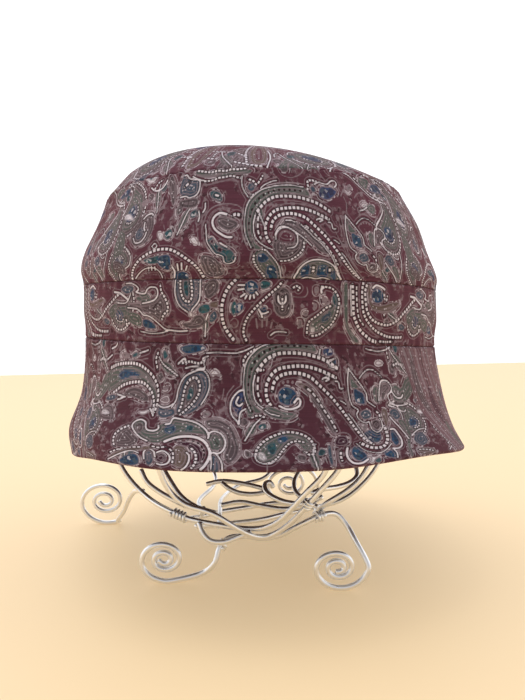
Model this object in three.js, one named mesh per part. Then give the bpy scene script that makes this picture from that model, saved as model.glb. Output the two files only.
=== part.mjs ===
import * as THREE from 'three';

// A soft cloth bucket hat resting on a hand-bent wire stand.
// Millimetres, +Z up. The front of the hat faces -Y. An azimuth is in degrees from
// the front, growing towards the right side (+X), and a reach is a distance from
// the hat's upright axis.

// Cloth
const CROWN_CLOTH = 1.8;
const BRIM_CLOTH = 2.2;
const SEAM_GAP = 0.4;
// The tip meets the side at a corner, so each stays this much further from their seam.
const TIP_MITRE = 0.2;
const COLUMNS = 72;

// Wire
const WIRE = 2.5;
const WIRE_SIDES = 6;
const WIRE_CLEARANCE = 0.35;

const clothMaterial = new THREE.MeshStandardMaterial({ color: 0x5a2a33, roughness: 0.92, metalness: 0 });
const wireMaterial = new THREE.MeshStandardMaterial({ color: 0xc8cacd, roughness: 0.3, metalness: 1 });

// The outer face of the hat, ring by ring from the hem up. Each ring gives its height and its
// reach on the four sides of the hat, in the order front, right, back, left.
const RINGS = [
  { ring: 'hem', heights: [65, 58.5, 58, 53.5], reaches: [117, 106, 111, 98.6] },
  { ring: 'low brim', heights: [77, 69, 70, 66.5], reaches: [110.5, 100.6, 105, 99.6] },
  { ring: 'mid brim', heights: [92, 84, 87, 86], reaches: [103.5, 96.6, 99.5, 93.6] },
  { ring: 'lower seam', heights: [112, 108.3, 111, 113.5], reaches: [98, 92.6, 97.5, 92] },
  { ring: 'mid band', heights: [125, 122, 124, 127], reaches: [99, 93.7, 98.5, 92.9] },
  { ring: 'upper seam', heights: [138.2, 136.6, 138, 139.5], reaches: [98.5, 93.2, 98, 92.8] },
  { ring: 'crown bulge', heights: [146, 143.5, 146, 147], reaches: [99.6, 93.2, 99, 93.6] },
  { ring: 'mid crown', heights: [158, 156, 158, 158], reaches: [96.5, 89.6, 95.5, 91.6] },
  { ring: 'high crown', heights: [173, 171, 172, 172], reaches: [90, 84.8, 89, 86] },
  { ring: 'tip seam', heights: [186.5, 187.5, 186.5, 184], reaches: [84, 74.8, 82.5, 81.5] },
];
const [FRONT, RIGHT, BACK, LEFT] = [0, 1, 2, 3];
const ringNumber = (name) => RINGS.findIndex((row) => row.ring === name);
const HEM = ringNumber('hem');
const LOWER_SEAM = ringNumber('lower seam');
const UPPER_SEAM = ringNumber('upper seam');
const TIP_SEAM = ringNumber('tip seam');

// How far the hem is drawn up between the front and each side.
const HEM_LIFT = { hem: 3.2, 'low brim': 1.6 };

// The tip swells to its highest point left of the axis, flat on top and round at the shoulder.
const TIP_TOP = new THREE.Vector3(-22, -6, 210);
const TIP_FULLNESS = 2.4;

// Soft dents and swellings of the crown and brim. The place is an azimuth and a ring number,
// each with its spread, and out is how far the cloth stands out there.
const FOLDS = [
  { azimuth: -88, ring: 0.9, wide: 14, tall: 0.8, out: 1.6 },
  { azimuth: -62, ring: 0.3, wide: 11, tall: 1.3, out: -2.6 },
  { azimuth: -35, ring: 0.2, wide: 13, tall: 1.2, out: 1.8 },
  { azimuth: 28, ring: 0.2, wide: 12, tall: 1.3, out: -1.8 },
  { azimuth: 58, ring: 0.2, wide: 12, tall: 1.2, out: 1.8 },
  { azimuth: 100, ring: 0.3, wide: 12, tall: 1.2, out: -2.0 },
  { azimuth: 140, ring: 0.2, wide: 15, tall: 1.3, out: 2.2 },
  { azimuth: 178, ring: 0.3, wide: 16, tall: 1.3, out: -2.2 },
  { azimuth: -140, ring: 0.2, wide: 15, tall: 1.2, out: 2.0 },
  { azimuth: -70, ring: 6.4, wide: 13, tall: 0.6, out: 1.0 },
  { azimuth: -58, ring: 7.8, wide: 10, tall: 0.9, out: -1.8 },
  { azimuth: 62, ring: 7.6, wide: 11, tall: 1.0, out: -1.5 },
  { azimuth: 82, ring: 6.1, wide: 11, tall: 0.5, out: 0.9 },
  { azimuth: 150, ring: 7.2, wide: 14, tall: 1.1, out: -1.8 },
  { azimuth: -130, ring: 7.2, wide: 14, tall: 1.1, out: -1.6 },
];
// The tip's own folds fade out towards its highest point and its seam, each over a share of the tip.
const TOP_FADE = 0.25;
const SEAM_FADE = 0.17;
const TIP_FOLDS = [
  { azimuth: -95, share: 0.8, wide: 38, deep: 0.22, up: 2.4 },
  { azimuth: 20, share: 0.55, wide: 35, deep: 0.2, up: -1.6 },
  { azimuth: 150, share: 0.6, wide: 40, deep: 0.22, up: -1.8 },
];

const radians = THREE.MathUtils.degToRad;

function at(azimuth, reach, height) {
  return new THREE.Vector3(reach * Math.sin(radians(azimuth)), -reach * Math.cos(radians(azimuth)), height);
}

function turnBetween(azimuth, angle) {
  // Signed degrees from one azimuth to the other, by the short way round.
  return THREE.MathUtils.euclideanModulo(angle - azimuth + 180, 360) - 180;
}

function bell(offset, spread) {
  return Math.exp(-0.5 * (offset / spread) ** 2);
}

// One ring is four quarter ellipses, so it is smooth where they meet on the axes.
function ringPoint(number, azimuth) {
  const { ring, heights, reaches } = RINGS[number];
  const across = Math.sin(radians(azimuth));
  const ahead = Math.cos(radians(azimuth));
  const side = across > 0 ? RIGHT : LEFT;
  const end = ahead > 0 ? FRONT : BACK;
  const drawnUp = ahead > 0 ? (HEM_LIFT[ring] ?? 0) * (2 * across * ahead) ** 4 : 0;
  const height = heights[end] * ahead ** 2 + heights[side] * across ** 2 + drawnUp;
  return new THREE.Vector3(reaches[side] * across, -reaches[end] * ahead, height);
}

// A point of the wall between the rings, on a smooth curve through them, with the folds added.
function wallPoint(ring, azimuth) {
  const below = THREE.MathUtils.clamp(Math.floor(ring), 0, TIP_SEAM - 1);
  const start = ringPoint(below, azimuth);
  const end = ringPoint(below + 1, azimuth);
  const before = below > 0 ? ringPoint(below - 1, azimuth) : start.clone().multiplyScalar(2).sub(end);
  const after = below + 2 <= TIP_SEAM ? ringPoint(below + 2, azimuth) : end.clone().multiplyScalar(2).sub(start);
  const point = new THREE.CatmullRomCurve3([before, start, end, after], false, 'catmullrom', 0.5)
    .getPoint((1 + ring - below) / 3);
  const out = FOLDS.reduce((sum, fold) => {
    const swelling = bell(turnBetween(fold.azimuth, azimuth), fold.wide) * bell(ring - fold.ring, fold.tall);
    return sum + fold.out * swelling;
  }, 0);
  return point.addScaledVector(at(azimuth, 1, 0), out);
}

// A point of the tip: share is 0 at the highest point and 1 on the seam.
function tipPoint(share, azimuth) {
  const seam = wallPoint(TIP_SEAM, azimuth);
  const point = new THREE.Vector3().lerpVectors(TIP_TOP, seam, share);
  point.z = seam.z + (TIP_TOP.z - seam.z) * (1 - share ** TIP_FULLNESS);
  const fade = Math.min(1, share / TOP_FADE) * Math.min(1, (1 - share) / SEAM_FADE);
  point.z += fade * TIP_FOLDS.reduce((sum, fold) => {
    const swelling = bell(turnBetween(fold.azimuth, azimuth), fold.wide) * bell(share - fold.share, fold.deep);
    return sum + fold.up * swelling;
  }, 0);
  return point;
}

const climbingTip = (climb, azimuth) => tipPoint(1 - climb, azimuth);

// A surface that climbs with its first parameter, sunk below its outer face along its own normal,
// which is taken between neighbouring points.
const NEIGHBOUR = { along: 0.02, azimuth: 1 };
function sunk(surface, along, azimuth, depth) {
  const point = surface(along, azimuth);
  if (depth === 0) return point;
  const climb = surface(along + NEIGHBOUR.along, azimuth).sub(surface(along - NEIGHBOUR.along, azimuth));
  const round = surface(along, azimuth + NEIGHBOUR.azimuth).sub(surface(along, azimuth - NEIGHBOUR.azimuth));
  return point.addScaledVector(round.cross(climb).normalize(), -depth);
}

// A cloth panel: a closed lathe form whose every vertex is moved to its own place.
// Each row gives how far along the surface it lies and how deep in the cloth.
function panel(name, rows, placed) {
  const profile = rows.map(({ along }) => new THREE.Vector2(1, along));
  const geometry = new THREE.LatheGeometry(profile, COLUMNS);
  const vertices = geometry.getAttribute('position');
  for (let i = 0; i < vertices.count; i++) {
    const row = rows[i % rows.length];
    const column = Math.floor(i / rows.length) % COLUMNS;
    const { x, y, z } = placed(row, (360 * column) / COLUMNS);
    vertices.setXYZ(i, x, y, z);
  }
  geometry.computeVertexNormals();
  const mesh = new THREE.Mesh(geometry, clothMaterial);
  mesh.name = name;
  return mesh;
}

function spread(from, to, steps) {
  return Array.from({ length: steps + 1 }, (_, i) => from + ((to - from) * i) / steps);
}

// A wall panel from one ring up to another, drawn back from each sewn edge by half the seam's gap,
// which is given as a share of the ring step.
function wallPanel(name, from, to, steps, cloth, bottomEdge, topEdge) {
  const heights = spread(from + bottomEdge, to - topEdge, steps);
  const outer = heights.map((along) => ({ along, depth: 0 }));
  const inner = heights.map((along) => ({ along, depth: cloth })).reverse();
  const rows = [...outer, ...inner, outer[0]];
  return panel(name, rows, (row, azimuth) => sunk(wallPoint, row.along, azimuth, row.depth));
}

// The round panel is closed at its middle, and its inner face ends a little short of its outer one.
function tipPanel(name, steps, edge) {
  const shares = spread(0, 1 - edge, steps);
  const inner = shares.map((along) => ({ along: along * (1 - 2 * edge), depth: CROWN_CLOTH }));
  const outer = shares.map((along) => ({ along, depth: 0 })).reverse();
  return panel(name, [...inner, ...outer], (row, azimuth) => {
    if (row.along === 0) return TIP_TOP.clone().setZ(TIP_TOP.z - row.depth);
    return sunk(climbingTip, 1 - row.along, azimuth, row.depth);
  });
}
// The distance between neighbouring rings along the cloth, and from the tip's top to its seam.
const BRIM_RING_STEP = 20;
const BAND_RING_STEP = 13;
const CROWN_RING_STEP = 14;
const TIP_REACH = 80;

function hat() {
  const half = SEAM_GAP / 2;
  const slanted = half + TIP_MITRE;
  const band = half / BAND_RING_STEP;
  return [
    wallPanel('brim', HEM, LOWER_SEAM, 7, BRIM_CLOTH, 0, half / BRIM_RING_STEP),
    wallPanel('crown_band', LOWER_SEAM, UPPER_SEAM, 3, CROWN_CLOTH, band, band),
    wallPanel('crown_side', UPPER_SEAM, TIP_SEAM, 6, CROWN_CLOTH, band, slanted / CROWN_RING_STEP),
    tipPanel('crown_tip', 6, slanted / TIP_REACH),
  ];
}

// The hoop under the tip follows the cloth that lies on it.
const HOOP_SHARE = 0.45;
const HOOP_MIDDLE = TIP_TOP.clone().multiplyScalar(1 - HOOP_SHARE);
function hoopPoint(azimuth) {
  return sunk(climbingTip, 1 - HOOP_SHARE, azimuth, CROWN_CLOTH + WIRE_CLEARANCE + WIRE / 2);
}

// The cage inside the hat: reach at each height, from the hoop down to the bowl's rim.
const CAGE = [
  { height: 190, reach: 57 },
  { height: 174, reach: 70 },
  { height: 150, reach: 77.5 },
  { height: 118, reach: 80 },
  { height: 86, reach: 81 },
  { height: 64, reach: 80 },
];

// A rib starts just under the hoop and runs down the cage.
function rib(azimuth) {
  const down = CAGE.map(({ reach, height }) => at(azimuth, reach, height));
  const aim = down[0].clone().sub(HOOP_MIDDLE);
  const hoop = hoopPoint(THREE.MathUtils.radToDeg(Math.atan2(aim.x, -aim.y)));
  const towards = down[0].clone().sub(hoop).normalize();
  return [hoop.addScaledVector(towards, WIRE / 2 + WIRE_CLEARANCE), ...down];
}

const course = (rows) => rows.map(([azimuth, reach, height]) => at(azimuth, reach, height));

// Courses of the wires below the ribs. Columns: azimuth, reach, height.
const FRONT_LOOP = course([
  [27, 78, 55], [22, 74, 46], [17, 67.5, 35.5], [12, 60, 26.5], [4, 53.5, 20], [-4, 57.3, 22],
  [-11, 63.3, 28], [-19, 68, 35], [-28, 69, 36.5], [-33, 72, 41], [-35, 77, 50],
]);
const FRONT_TWIN = course([
  [22.5, 78, 55], [17, 73, 45.5], [12, 66.5, 35.5], [8, 61, 29], [1, 55, 24.5], [-7, 54, 24],
  [-14, 57, 25.5], [-22, 58.5, 26.5], [-34, 60, 27.5], [-42, 62.5, 30], [-51, 65, 32.5],
  [-60, 68, 36.5], [-65, 73, 43], [-68, 77.5, 52],
]);
const RIGHT_WIRE = course([
  [39, 78.5, 54], [37, 76.5, 48.5], [32, 72.5, 42.5], [27, 66.5, 37], [30, 54, 29], [52, 36, 21.5],
  [95, 30, 18.5], [140, 18, 18], [-120, 8, 18], [-72, 24, 18.5], [-56, 38, 20], [-48, 50, 22.5],
]);
const FLOOR_WIRE = course([
  [106, 78, 52], [106, 68, 34], [108, 52, 20], [112, 34, 15.5], [104, 17, 15], [5, 9, 15], [-45, 22, 15],
  [-42, 38, 17.5], [-38, 50, 21],
]);
const BACK_LEFT_WIRE = course([
  [-152, 79, 52], [-152, 72, 34], [-153, 62, 23.5], [-142, 46, 21.5], [-98, 34, 21.8], [-58, 36, 23],
  [-38, 46, 25.5], [-30, 53.5, 31.5],
]);
const BACK_WIRE = course([
  [170, 79, 52], [171, 71, 34], [176, 60, 22], [-168, 55, 19], [-155, 46, 17.5], [-143, 30, 18.5],
  [-100, 22, 21.5], [-50, 27, 22.5], [-27, 43, 23], [-22, 52, 23.5],
]);

// A foot is a scroll of wire standing on edge: from its start angle it winds clockwise, seen from
// the front, and shrinks. A turn angle of 0 is to the right of its centre and 90 is below it.
const SCROLL_STEP = 24;
const SCROLL_SHRINK = 0.75;
const WIDENED = { wide: 1.12, tall: 0.9 };
// How much of the wire is worn flat where a foot stands.
const FOOT_FLAT = 0.2;
const WIRE_HALF_FLAT = (WIRE / 2) * Math.cos(Math.PI / WIRE_SIDES);

const FRONT_LEFT_SCROLL = { x: -44, y: -57, size: 11.5, from: 75, turns: 1.7 };
const FRONT_RIGHT_SCROLL = { x: 35.5, y: -65, size: 12.5, from: -5, turns: 1.85 };
const BACK_LEFT_SCROLL = { x: -93, y: 33, size: 15.5, from: 60, turns: 1.75 };
const BACK_RIGHT_SCROLL = { x: 19, y: 74, size: 15.5, from: 60, turns: 1.75 };

function scroll({ x, y, size, from, turns }) {
  const shrink = (angle) => size * Math.exp((-SCROLL_SHRINK * (angle - from)) / 360);
  const lowest = shrink(Math.max(from, 90));
  const height = WIDENED.tall * lowest + WIRE_HALF_FLAT - FOOT_FLAT;
  const angles = spread(from, from + 360 * turns, Math.round((360 * turns) / SCROLL_STEP));
  return angles.map((angle) => new THREE.Vector3(
    x + WIDENED.wide * shrink(angle) * Math.cos(radians(angle)),
    y,
    height - WIDENED.tall * shrink(angle) * Math.sin(radians(angle)),
  ));
}

// Legs and the tie between the front feet. Columns: azimuth, reach, height.
const FRONT_TIE = course([
  [-26, 61, 3.6], [-20, 60.5, 9], [-18.5, 58.5, 15.5], [-15, 54.5, 19.5], [-7, 49.5, 19], [2, 46, 17],
  [11, 51.5, 20], [19, 59, 26.5], [27, 63.7, 31.3], [34, 64.5, 30.8], [37, 68.5, 25.5], [37, 74, 20],
]);
const BACK_LEFT_LEG = course([
  [-106.5, 87, 5], [-102, 80, 12], [-88, 71.5, 24], [-71, 68, 33.5], [-61.5, 66.4, 36.1],
]);
const BACK_RIGHT_LEG = course([
  [155.5, 83.5, 4], [152.5, 83, 10], [154, 80, 21], [163, 74, 31], [169.2, 70, 36],
]);

// A round wire through the points, kept above the surface that the stand stands on.
function wire(name, points, step, closed = false) {
  const curve = new THREE.CatmullRomCurve3(points, closed, 'catmullrom', 0.5);
  const corners = Array.from({ length: WIRE_SIDES }, (_, i) => {
    const turn = (2 * Math.PI * i) / WIRE_SIDES;
    return new THREE.Vector2((WIRE / 2) * Math.cos(turn), (WIRE / 2) * Math.sin(turn));
  });
  const steps = Math.round(curve.getLength() / step);
  const sweep = { steps, extrudePath: curve, bevelEnabled: false };
  const geometry = new THREE.ExtrudeGeometry(new THREE.Shape(corners), sweep);
  const vertices = geometry.getAttribute('position');
  for (let i = 0; i < vertices.count; i++) vertices.setZ(i, Math.max(0, vertices.getZ(i)));
  geometry.computeVertexNormals();
  const mesh = new THREE.Mesh(geometry, wireMaterial);
  mesh.name = name;
  return mesh;
}

// How far apart a wire's cross sections lie, on the long wires and on the curled feet.
const LONG_STEP = 10;
const CURLED_STEP = 4.2;
const HOOP_POINTS = 32;

function stand() {
  const hoop = spread(0, 360, HOOP_POINTS).slice(0, -1).map(hoopPoint);
  const frontFeet = [...scroll(FRONT_LEFT_SCROLL).reverse(), ...FRONT_TIE, ...scroll(FRONT_RIGHT_SCROLL)];
  return [
    wire('top_hoop', hoop, LONG_STEP, true),
    wire('front_loop', [...rib(29), ...FRONT_LOOP, ...rib(-36).reverse()], LONG_STEP),
    wire('front_twin', [...rib(22), ...FRONT_TWIN, ...rib(-70).reverse()], LONG_STEP),
    wire('right_wire', [...rib(42), ...RIGHT_WIRE], LONG_STEP),
    wire('floor_wire', [...rib(106), ...FLOOR_WIRE], LONG_STEP),
    wire('back_left_wire', [...rib(-152), ...BACK_LEFT_WIRE], LONG_STEP),
    wire('back_wire', [...rib(170), ...BACK_WIRE], LONG_STEP),
    wire('front_feet', frontFeet, CURLED_STEP),
    wire('back_left_foot', [...scroll(BACK_LEFT_SCROLL).reverse(), ...BACK_LEFT_LEG], CURLED_STEP),
    wire('back_right_foot', [...scroll(BACK_RIGHT_SCROLL).reverse(), ...BACK_RIGHT_LEG], CURLED_STEP),
  ];
}

const group = new THREE.Group();
group.add(...hat(), ...stand());

// The origin is under the middle of the whole, on the surface that it stands on.
group.updateMatrixWorld(true);
const middle = new THREE.Box3().setFromObject(group, true).getCenter(new THREE.Vector3());
group.position.set(-middle.x, -middle.y, 0);

export default group;
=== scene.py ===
"""A soft cloth bucket hat with a paisley print, resting on a hand-bent wire stand.

The shapes are worked out in millimetres from the hat's upright axis. The front of the hat faces -Y,
an azimuth is in degrees from the front towards the right side, and a reach is a distance from the axis.
"""

import bpy
import numpy as np
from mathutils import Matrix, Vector


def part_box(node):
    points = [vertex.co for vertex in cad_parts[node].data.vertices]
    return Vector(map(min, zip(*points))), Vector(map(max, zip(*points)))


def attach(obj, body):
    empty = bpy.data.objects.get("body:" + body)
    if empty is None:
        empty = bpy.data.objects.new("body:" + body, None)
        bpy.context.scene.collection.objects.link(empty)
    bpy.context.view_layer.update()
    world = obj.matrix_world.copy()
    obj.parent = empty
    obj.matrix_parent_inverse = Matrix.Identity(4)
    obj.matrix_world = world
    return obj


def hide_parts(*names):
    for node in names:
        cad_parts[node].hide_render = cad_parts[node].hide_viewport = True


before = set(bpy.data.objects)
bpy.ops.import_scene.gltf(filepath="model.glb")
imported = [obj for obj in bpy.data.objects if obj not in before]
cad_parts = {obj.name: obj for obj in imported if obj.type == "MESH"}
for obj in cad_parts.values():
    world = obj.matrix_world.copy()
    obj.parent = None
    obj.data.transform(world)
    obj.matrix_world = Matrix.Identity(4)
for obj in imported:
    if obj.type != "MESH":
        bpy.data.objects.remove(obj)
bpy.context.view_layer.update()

MM = 0.001

# Cloth
CROWN_CLOTH = 1.8
BRIM_CLOTH = 2.2

# Wire
WIRE = 2.5
WIRE_CLEARANCE = 0.35

# The outer face of the hat, ring by ring from the hem up. Columns: the ring's name, its height and its
# reach on the four sides of the hat, and how far it is drawn up between the front and each side.
FRONT, RIGHT, BACK, LEFT = range(4)
RINGS = [
    ("hem", (65, 58.5, 58, 53.5), (117, 106, 111, 98.6), 3.2),
    ("low brim", (77, 69, 70, 66.5), (110.5, 100.6, 105, 99.6), 1.6),
    ("mid brim", (92, 84, 87, 86), (103.5, 96.6, 99.5, 93.6), 0),
    ("lower seam", (112, 108.3, 111, 113.5), (98, 92.6, 97.5, 92), 0),
    ("mid band", (125, 122, 124, 127), (99, 93.7, 98.5, 92.9), 0),
    ("upper seam", (138.2, 136.6, 138, 139.5), (98.5, 93.2, 98, 92.8), 0),
    ("crown bulge", (146, 143.5, 146, 147), (99.6, 93.2, 99, 93.6), 0),
    ("mid crown", (158, 156, 158, 158), (96.5, 89.6, 95.5, 91.6), 0),
    ("high crown", (173, 171, 172, 172), (90, 84.8, 89, 86), 0),
    ("tip seam", (186.5, 187.5, 186.5, 184), (84, 74.8, 82.5, 81.5), 0),
]
RING_NAMES, *measures = zip(*RINGS)
HEIGHTS, REACHES, LIFTS = (np.array(measure, float) for measure in measures)
HEM, LOWER_SEAM, UPPER_SEAM, TIP_SEAM = (
    RING_NAMES.index(name) for name in ("hem", "lower seam", "upper seam", "tip seam")
)

# The tip swells to its highest point left of the axis, flat on top and round at the shoulder.
TIP_TOP = np.array([-22.0, -6.0, 210.0])
TIP_FULLNESS = 2.4

# Soft dents and swellings of the walls. Columns: azimuth, its spread, ring number, its spread, and
# how far the cloth stands out there.
FOLDS = [
    (-88, 14, 0.9, 0.8, 1.6),
    (-62, 11, 0.3, 1.3, -2.6),
    (-35, 13, 0.2, 1.2, 1.8),
    (28, 12, 0.2, 1.3, -1.8),
    (58, 12, 0.2, 1.2, 1.8),
    (100, 12, 0.3, 1.2, -2.0),
    (140, 15, 0.2, 1.3, 2.2),
    (178, 16, 0.3, 1.3, -2.2),
    (-140, 15, 0.2, 1.2, 2.0),
    (-70, 13, 6.4, 0.6, 1.0),
    (-58, 10, 7.8, 0.9, -1.8),
    (62, 11, 7.6, 1.0, -1.5),
    (82, 11, 6.1, 0.5, 0.9),
    (150, 14, 7.2, 1.1, -1.8),
    (-130, 14, 7.2, 1.1, -1.6),
]

# The tip's own. Columns: azimuth, its spread, share of the way out to the seam, its spread, and how far
# the cloth stands up there. They fade out over the first and the last share of the way.
TIP_FOLDS = [
    (-90, 40, 0.8, 0.22, 3.3),
    (12, 50, 0.5, 0.25, 0.7),
    (150, 40, 0.6, 0.22, -1.8),
]
TOP_FADE = 0.25
SEAM_FADE = 0.17


def bell(offset, spread):
    """A bell curve, which is 1 in its middle."""
    return np.exp(-0.5 * (offset / spread) ** 2)


def turn_between(azimuth, angle):
    """Signed degrees from one azimuth to the other, by the short way round."""
    return (angle - azimuth + 180) % 360 - 180


def folded(azimuth, along, folds):
    """The sum of the folds at each place, every one a bell both ways."""
    return sum(
        out * bell(turn_between(middle, azimuth), wide) * bell(along - place, long)
        for middle, wide, place, long, out in folds
    )


def at(azimuth, reach, height):
    """The points at those azimuths, reaches and heights."""
    turn = np.radians(azimuth)
    parts = np.broadcast_arrays(reach * np.sin(turn), -reach * np.cos(turn), height)
    return np.stack(parts, -1).astype(float)


def ring_point(number, azimuth):
    """Four quarter ellipses, whose heights blend by the squares of sine and cosine. In front they are
    drawn up by the fourth power of the doubled angle's sine."""
    across, ahead = np.sin(np.radians(azimuth)), np.cos(np.radians(azimuth))
    side = np.where(across > 0, RIGHT, LEFT)
    end = np.where(ahead > 0, FRONT, BACK)
    drawn_up = np.where(ahead > 0, LIFTS[number], 0) * (2 * across * ahead) ** 4
    height = HEIGHTS[number, end] * ahead**2 + HEIGHTS[number, side] * across**2 + drawn_up
    return np.stack([REACHES[number, side] * across, -REACHES[number, end] * ahead, height], -1)


def through(before, start, end, after, share):
    """The Catmull-Rom cubic from start to end, with the slopes of its neighbours."""
    share = share[..., None]
    slope, next_slope = (end - before) / 2, (after - start) / 2
    square, cube = share**2, share**3
    return (
        (2 * cube - 3 * square + 1) * start
        + (cube - 2 * square + share) * slope
        + (3 * square - 2 * cube) * end
        + (cube - square) * next_slope
    )


def wall_point(ring, azimuth):
    """The smooth curve up through the rings at each azimuth, with every fold's bell added outwards."""
    below = np.clip(np.floor(ring).astype(int), 0, TIP_SEAM - 1)
    start, end = ring_point(below, azimuth), ring_point(below + 1, azimuth)
    before = ring_point(np.maximum(below - 1, 0), azimuth)
    after = ring_point(np.minimum(below + 2, TIP_SEAM), azimuth)
    before = np.where((below == 0)[..., None], 2 * start - end, before)
    after = np.where((below == TIP_SEAM - 1)[..., None], 2 * end - start, after)
    point = through(before, start, end, after, ring - below)
    return point + at(azimuth, 1, 0) * folded(azimuth, ring, FOLDS)[..., None]


def tip_point(share, azimuth):
    """From the highest point, share 0, out to the seam, share 1, falling by a power of the share."""
    seam = wall_point(np.full(np.shape(azimuth), float(TIP_SEAM)), azimuth)
    point = TIP_TOP + (seam - TIP_TOP) * share[..., None]
    point[..., 2] = seam[..., 2] + (TIP_TOP[2] - seam[..., 2]) * (1 - share**TIP_FULLNESS)
    fade = np.minimum(1, share / TOP_FADE) * np.minimum(1, (1 - share) / SEAM_FADE)
    point[..., 2] += fade * folded(azimuth, share, TIP_FOLDS)
    return point


def climbing_tip(climb, azimuth):
    """The tip from its seam, climb 0, up to its highest point, climb 1."""
    return tip_point(np.clip(1 - climb, 0, None), azimuth)


NEIGHBOUR_ALONG = 0.02
NEIGHBOUR_AZIMUTH = 1.0


def sunk(surface, along, azimuth, depth):
    """The surface, moved below its outer face by the depth, along its own normal."""
    climb = surface(along + NEIGHBOUR_ALONG, azimuth) - surface(along - NEIGHBOUR_ALONG, azimuth)
    turn = surface(along, azimuth + NEIGHBOUR_AZIMUTH) - surface(along, azimuth - NEIGHBOUR_AZIMUTH)
    normal = np.cross(turn, climb)
    normal /= np.maximum(np.linalg.norm(normal, axis=-1, keepdims=True), 1e-9)
    return surface(along, azimuth) - normal * depth[..., None]


BAND_AZIMUTHS = np.arange(0, 360, 5.0)
BAND_RINGS = np.linspace(LOWER_SEAM, UPPER_SEAM, 9)


def axis_offset():
    """How far the axis stands beside the frame's origin, which lies under the middle of the whole. The
    band's places are measured, and compared with the CAD's band."""
    azimuth, ring = np.meshgrid(BAND_AZIMUTHS, BAND_RINGS)
    points = wall_point(ring, azimuth).reshape(-1, 3)
    low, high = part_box("crown_band")
    middle = np.array([(low[i] + high[i]) / 2 for i in range(2)]) / MM
    own = (points.min(0)[:2] + points.max(0)[:2]) / 2
    return np.array([*(middle - own), 0.0])


OFFSET = axis_offset()


def piece_from(name, points, faces, material, node):
    """A mesh at the origin with its place in its points, which stands for the node where it names one."""
    mesh = bpy.data.meshes.new(name)
    mesh.from_pydata(((points + OFFSET) * MM).tolist(), [], faces)
    mesh.polygons.foreach_set("use_smooth", [True] * len(mesh.polygons))
    mesh.materials.append(material)
    mesh.update()
    piece = bpy.data.objects.new(name, mesh)
    bpy.context.scene.collection.objects.link(piece)
    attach(piece, "root")
    if node:
        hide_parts(node)
    return piece


def lay_out(piece, across, along, whole=0.0):
    """The piece's UV map in metres. Where across comes round to its start again, whole is added to it."""
    mesh = piece.data
    corners = np.empty(len(mesh.loops), int)
    mesh.loops.foreach_get("vertex_index", corners)
    starts, counts = np.empty(len(mesh.polygons), int), np.empty(len(mesh.polygons), int)
    mesh.polygons.foreach_get("loop_start", starts)
    mesh.polygons.foreach_get("loop_total", counts)
    u = across[corners]
    furthest = np.repeat(np.maximum.reduceat(u, starts), counts)
    u = np.where(furthest - u > whole / 2, u + whole, u)
    layer = mesh.uv_layers.new(name="spread")
    layer.data.foreach_set("uv", (np.stack([u, along[corners]], -1) * MM).ravel())


def loop_faces(rows, columns, closed):
    """Quads of a grid that closes on itself round its columns, and over its rows where closed says so."""
    row, column = np.meshgrid(np.arange(rows if closed else rows - 1), np.arange(columns), indexing="ij")
    next_row, next_column = (row + 1) % rows, (column + 1) % columns
    quads = [row * columns + column, row * columns + next_column,
             next_row * columns + next_column, next_row * columns + column]
    return np.stack(quads, -1).reshape(-1, 4).tolist()


def capped_faces(rows, columns):
    """The quads of an open grid, with a fan to one more point at its first row and one at its last."""
    fans = []
    for row, pole, inward in ((0, rows * columns, True), (rows - 1, rows * columns + 1, False)):
        ring = row * columns + np.arange(columns)
        following = np.roll(ring, -1)
        first, second = (following, ring) if inward else (ring, following)
        fans += np.stack([first, second, np.full(columns, pole)], -1).tolist()
    return loop_faces(rows, columns, False) + fans


# The print is charted on each panel in millimetres: along it round the hat, and up it from its
# lower edge. The charts repeat round the hat.
ROUND = 95.0
REPEATS = 4
REPEAT = 2 * np.pi * ROUND / REPEATS

DYES = {
    "burgundy": "#4a2734", "wine": "#522b3a", "deep": "#36182a", "umber": "#4e444a", "ochre": "#5e504c",
    "sage": "#4e5654", "teal": "#28505b", "navy": "#224565", "slate": "#3b4a5b", "indigo": "#303f66",
    "cream": "#d4cdd6", "tan": "#7f7078", "dark": "#22141b", "rose": "#634851", "reverse": "#6a585d",
}
INKS = ("cream", "tan", "dark")


def linear(code):
    """An sRGB hex colour as linear red, green, blue and alpha."""
    channels = np.array([int(code[i:i + 2], 16) / 255 for i in (1, 3, 5)])
    curved = ((channels + 0.055) / 1.055) ** 2.4
    return [*np.where(channels <= 0.04045, channels / 12.92, curved), 1.0]


def smooth_path(points, closed, spacing):
    """Points about the spacing apart on the Catmull-Rom curve through the given ones."""
    points = np.asarray(points, float)
    if closed:
        padded = np.concatenate([points[-1:], points, points[:2]])
    else:
        padded = np.concatenate([[2 * points[0] - points[1]], points, [2 * points[-1] - points[-2]]])
    pieces = []
    for before, start, end, after in zip(padded, padded[1:], padded[2:], padded[3:]):
        count = max(2, int(np.ceil(np.linalg.norm(end - start) / spacing)))
        pieces.append(through(before, start, end, after, np.arange(count) / count))
    if not closed:
        pieces.append(points[-1:])
    return np.concatenate(pieces)


def evenly(path, gap):
    """Points at even gaps along a path."""
    lengths = np.concatenate([[0], np.cumsum(np.linalg.norm(np.diff(path, axis=0), axis=1))])
    count = max(2, int(round(lengths[-1] / gap)) + 1)
    stops = np.linspace(0, lengths[-1], count)
    return np.stack([np.interp(stops, lengths, side) for side in path.T], -1)


def nearest(places, points):
    """Each place's distance to the nearest of the points, and that point's number."""
    gaps = np.sum((places[:, None, :] - points[None, :, :]) ** 2, -1)
    number = np.argmin(gaps, 1)
    return np.sqrt(gaps[np.arange(len(places)), number]), number


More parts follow.
